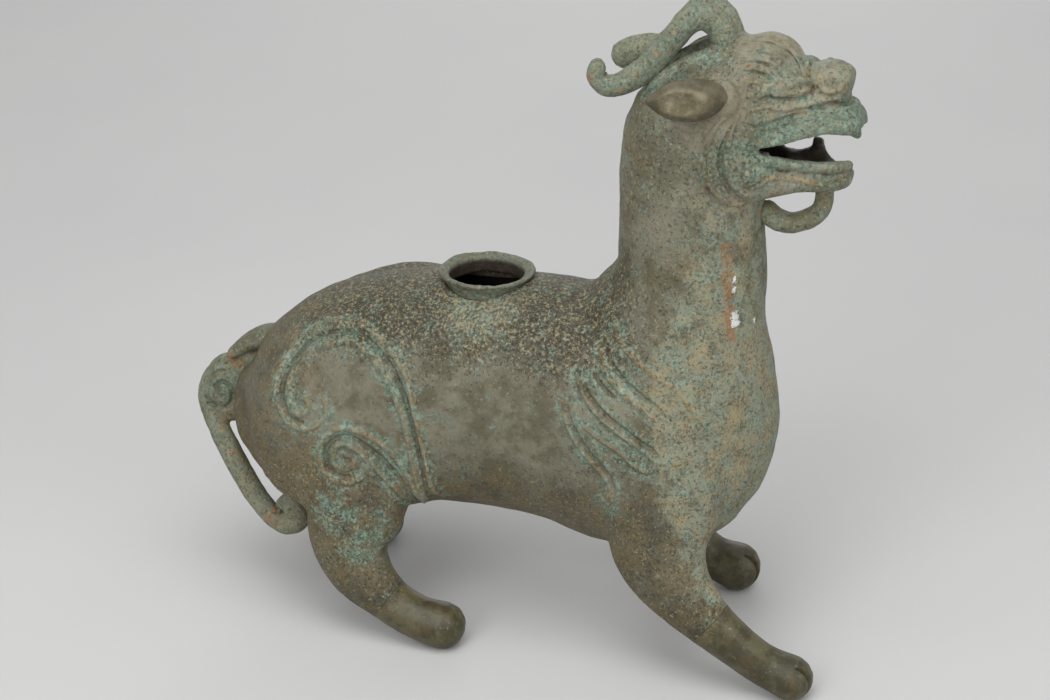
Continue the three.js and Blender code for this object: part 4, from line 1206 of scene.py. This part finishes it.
def corroded(name, metal_light, metal_dark):
    """Brown metal under layers of corrosion, laid on from the oldest to the newest."""
    s = Shader(name)
    ridge, groove, inside, coated_share = s.painted("form")
    green, crust, soil, copper = s.painted("tint")
    dark, grain, white, rust = s.painted("shade_and_age")
    warm = s.painted("cast")[0]
    broad, middle, small = s.noise(26, 5, 0.6), s.noise(7, 6, 0.65), s.noise(2.6, 5, 0.65)
    fine, speck = s.noise(1.3, 4, 0.65), s.noise(1.9, 5, 0.7)

    def broken(painted, small_width, fine_width):
        """A painted value whose border the small and fine noises break up."""
        return s.add(painted, s.add(s.spread(small, small_width), s.spread(fine, fine_width)))

    # brown metal, darker or warmer where it is painted so; part of the darkening, low on the body, is a
    # painted shade
    colour = s.mix(metal_dark, metal_light, s.step(s.blend(broad, middle, 0.4), 0.42, 0.58))
    darkened = s.add(s.scaled(dark, 0.75), s.scaled(s.step(middle, 0.5, 0.66), 0.3))
    colour = s.mix(colour, DARK_BROWN, s.clamped(darkened))
    warmed = s.step(s.add(warm, s.spread(s.noise(11, 6, 0.7), 3.0)), 0.1, 0.9)
    colour = s.cover(colour, WARM_BROWN, warmed, 0.5)

    # thin green corrosion
    spread = s.add(s.add(green, s.spread(middle, 2.2)), s.spread(fine, 1.4))
    corrosion = s.mix(DEEP_GREEN, TURQUOISE, s.step(s.blend(small, fine), 0.44, 0.58))
    colour = s.cover(colour, corrosion, s.step(spread, 0.3, 0.95), 0.75)

    # thick crust, made of grains of several colours
    lump = s.noise(1.8, 6, 0.7)
    ragged = s.add(s.spread(lump, 1.2), s.add(s.spread(middle, 2.0), s.spread(broad, 1.2)))
    crusty = s.step(s.add(crust, ragged), 0.25, 0.85)
    grains = s.cover(GREY_GREEN, TURQUOISE, s.patches(14, 1.3, 0.47, 0.56), 0.75)
    grains = s.cover(grains, OCHRE, s.patches(11, 1.3, 0.48, 0.57), 0.75)
    grains = s.cover(grains, DARK_BROWN, s.patches(9, 1.2, 0.49, 0.57), 0.55)
    grains = s.cover(grains, PALE_CRUST, s.step(s.noise(0.8, 5, 0.8), 0.47, 0.62), 0.5)
    grains = s.cover(grains, DEEP_GREEN, s.step(s.noise(0.9, 5, 0.8), 0.5, 0.64), 0.45)
    colour = s.cover(colour, grains, crusty, 0.85)

    # grooves hold dark green corrosion and a painted shade, ridges are rubbed pale
    in_groove = s.mix(DARK_BROWN, DEEP_GREEN, s.step(middle, 0.46, 0.6))
    colour = s.cover(colour, in_groove, s.step(groove, 0.1, 0.7), 0.8)
    rubbed = s.scaled(ridge, s.step(small, 0.4, 0.56))
    colour = s.cover(colour, s.mix(OCHRE, PALE_CRUST, s.step(middle, 0.5, 0.6)), rubbed, 0.75)

    # grains of soil, pale specks and pits
    dusty = s.add(s.add(s.spread(speck, 1.0), s.scaled(soil, 0.1)), s.scaled(grain, 0.07))
    colour = s.cover(colour, SAND_SPECK, s.step(dusty, 0.13, 0.22), 0.7)
    pale = s.add(s.spread(s.noise(1.3, 4, 0.7), 1.0), s.scaled(grain, 0.09))
    colour = s.cover(colour, PALE_SPECK, s.step(pale, 0.15, 0.24), 0.65)
    pits = s.step(s.add(s.spread(s.noise(1.5, 5, 0.7), 1.0), s.scaled(grain, 0.11)), 0.12, 0.2)
    colour = s.cover(colour, DARK_BROWN, pits, 0.5)

    # bare copper, rust, the coat over mended places, white residue, and a painted shade on the inside
    colour = s.cover(colour, COPPER_RED, s.step(broken(copper, 2.0, 1.6), 0.45, 1.1), 0.55)
    colour = s.cover(colour, RUST, s.step(broken(rust, 3.0, 2.0), 0.5, 1.2), 0.75)
    smooth = s.step(s.add(coated_share, s.spread(middle, 1.6)), 0.35, 0.75)
    coat = s.mix(COAT_BROWN, metal_dark, s.step(s.blend(small, fine), 0.44, 0.6))
    colour = s.cover(colour, coat, smooth, 0.75)
    colour = s.mix(colour, RESIDUE, s.step(broken(white, 1.6, 1.6), 0.55, 0.75))
    colour = s.mix(colour, HOLLOW_SHADE, inside)

    height = s.add(s.blend(small, fine), s.scaled(crusty, lump))
    height = s.math("SUBTRACT", height, s.scaled(pits, 0.35))
    height = s.scaled(height, s.math("SUBTRACT", 1.0, s.scaled(smooth, 0.8)))
    roughness = s.clamped(s.add(s.scaled(s.add(crusty, fine), 0.25), 0.5))
    return s.finish(colour, roughness, height, 0.6)


body_bronze = corroded("bronze_with_patina", srgb(120, 117, 99), srgb(86, 82, 62))
head_bronze = corroded("bronze_of_the_head", srgb(136, 133, 114), srgb(99, 97, 77))
green_bronze = corroded("bronze_green_corrosion", srgb(138, 142, 122), srgb(100, 106, 86))
body_piece.data.materials.append(body_bronze)
head_piece.data.materials.append(head_bronze)

# %% [markdown]
# The restored legs and ears are toned to match: a smooth olive coat, cloudy and a little glossy. Pins,
# dowels and the clay of the cores are hidden, but show when the vessel is taken apart.

# %% Restored metal, pins and clay
DARK_COAT = srgb(38, 36, 22)


def coated(name, light, dark, warm, rough):
    """A smooth toned coat, cloudy, with a few specks."""
    s = Shader(name)
    groove = s.painted("form")[1]
    dusty = s.painted("tint")[2]
    cloud, streak, fine = s.noise(12, 4), s.noise(3.5, 5, 0.65), s.noise(0.9, 4, 0.65)
    colour = s.mix(dark, light, s.step(s.blend(cloud, streak, 0.4), 0.42, 0.6))
    colour = s.cover(colour, warm, s.step(s.noise(6, 4, 0.6), 0.52, 0.66), 0.5)
    colour = s.cover(colour, PALE_SPECK, s.step(s.noise(1.5, 5, 0.7), 0.6, 0.7), 0.35)
    colour = s.cover(colour, DARK_COAT, s.step(s.noise(1.6, 4, 0.65), 0.58, 0.7), 0.4)
    colour = s.cover(colour, OCHRE, dusty, s.step(fine, 0.45, 0.7))
    colour = s.cover(colour, DARK_COAT, groove, 0.75)
    roughness = s.add(s.scaled(streak, 0.25), rough)
    return s.finish(colour, roughness, s.add(streak, s.scaled(fine, 0.3)), 0.2)


def plain_finish(name, light, dark, size, metallic, roughness):
    s = Shader(name)
    mottle = s.noise(size, 4)
    return s.finish(s.mix(dark, light, s.step(mottle, 0.4, 0.6)),
                    s.add(s.scaled(mottle, 0.15), roughness), mottle, 0.05, metallic)


leg_coat = coated("restored_leg_coat", srgb(84, 80, 54), srgb(54, 51, 27), srgb(82, 64, 38), rough=0.32)
ear_coat = coated("restored_ear_coat", srgb(134, 126, 104), srgb(92, 86, 62), srgb(138, 128, 106), rough=0.7)
pin_metal = plain_finish("pin_brass", srgb(176, 146, 90), srgb(150, 120, 72), 2, 0.9, 0.35)
core_clay = plain_finish("core_clay", srgb(170, 136, 104), srgb(140, 108, 80), 3, 0.0, 0.85)

for piece in scene.objects:
    if piece.name.startswith(("horn_dressed", "beard_dressed", "tail_dressed", "collar_dressed")):
        piece.data.materials.append(green_bronze)
    elif piece.name.endswith(("_lower_right_dressed", "_lower_left_dressed")):
        piece.data.materials.append(leg_coat)
    elif piece.name.startswith("ear_dressed"):
        piece.data.materials.append(ear_coat)

for name, node in frame["nodes"].items():
    if name.startswith(("leg_dowel", "ear_pin")):
        finish = pin_metal
    elif name.startswith("leg_core"):
        finish = core_clay
    else:
        continue
    node.data.materials.clear()
    node.data.materials.append(finish)

# %% [markdown]
# The vessel stands on a plain pale floor under wide soft lamps, with the camera where the photographer
# stood: above the back and a little to the front, looking at the right side.

# %% Floor, light and camera
PAPER_GREY = srgb(196, 196, 196)
WORLD_LIGHT = 0.5
floor_mesh = bmesh.new()
bmesh.ops.create_grid(floor_mesh, x_segments=8, y_segments=8, size=4)
floor = new_object("floor", floor_mesh)
floor_mesh.free()
paper = Shader("floor_paper")
paper_tone = paper.mix(PAPER_GREY, srgb(202, 202, 201), paper.noise(180, 2))
floor.data.materials.append(paper.finish(paper_tone, 0.9, paper.noise(1.5, 2), 0.02))

world = bpy.data.worlds.new("soft light")
scene.world = world
world.use_nodes = True
tree = world.node_tree
tree.nodes.clear()
path = tree.nodes.new("ShaderNodeLightPath")
seen = path.outputs["Is Camera Ray"]
for kind in ("Is Glossy Ray", "Is Transmission Ray"):
    add = tree.nodes.new("ShaderNodeMath")
    add.operation = "ADD"
    add.use_clamp = True
    tree.links.new(seen, add.inputs[0])
    tree.links.new(path.outputs[kind], add.inputs[1])
    seen = add.outputs[0]
light, backdrop = tree.nodes.new("ShaderNodeBackground"), tree.nodes.new("ShaderNodeBackground")
light.inputs["Color"].default_value = (1.0, 1.0, 1.0, 1.0)
light.inputs["Strength"].default_value = WORLD_LIGHT
backdrop.inputs["Color"].default_value = PAPER_GREY
backdrop.inputs["Strength"].default_value = 1.0
mixed, world_out = tree.nodes.new("ShaderNodeMixShader"), tree.nodes.new("ShaderNodeOutputWorld")
tree.links.new(seen, mixed.inputs[0])
tree.links.new(light.outputs[0], mixed.inputs[1])
tree.links.new(backdrop.outputs[0], mixed.inputs[2])
tree.links.new(mixed.outputs[0], world_out.inputs[0])


def area_lamp(name, place, aim, size, power):
    lamp = bpy.data.lights.new(name, "AREA")
    lamp.shape = "SQUARE"
    lamp.size = size
    lamp.energy = power
    made = bpy.data.objects.new(name, lamp)
    scene.collection.objects.link(made)
    made.location = place
    made.rotation_euler = (Vector(aim) - Vector(place)).to_track_quat("-Z", "Y").to_euler()


MIDDLE = (0, 0, 0.14)
# Each lamp is its place, its size in metres and its power in watts.
LAMPS = {"top_lamp": ((0.1, -0.5, 1.3), 1.0, 9), "key_lamp": ((-0.3, -1.4, 0.9), 0.8, 9),
         "nose_lamp": ((1.3, -0.6, 0.6), 0.7, 4), "far_lamp": ((-0.3, 1.6, 0.8), 1.0, 5)}
for name, (place, size, power) in LAMPS.items():
    area_lamp(name, place, MIDDLE, size, power)

CAMERA_AZIMUTH, CAMERA_ELEVATION = math.radians(16), math.radians(24)
CAMERA_DISTANCE = 1.1
PHOTO_WIDTH, FOCAL_PIXELS = 1050, 2400
target = Vector(placed((0, -10, 140)))
back = Vector((math.sin(CAMERA_AZIMUTH) * math.cos(CAMERA_ELEVATION),
               -math.cos(CAMERA_AZIMUTH) * math.cos(CAMERA_ELEVATION), math.sin(CAMERA_ELEVATION)))
lens = bpy.data.cameras.new("photo_camera")
lens.sensor_width = 36
lens.lens = lens.sensor_width * FOCAL_PIXELS / PHOTO_WIDTH
camera = bpy.data.objects.new("photo_camera", lens)
scene.collection.objects.link(camera)
camera.location = target + back * CAMERA_DISTANCE
camera.rotation_euler = (-back).to_track_quat("-Z", "Y").to_euler()
scene.camera = camera
scene.view_settings.view_transform = "Standard"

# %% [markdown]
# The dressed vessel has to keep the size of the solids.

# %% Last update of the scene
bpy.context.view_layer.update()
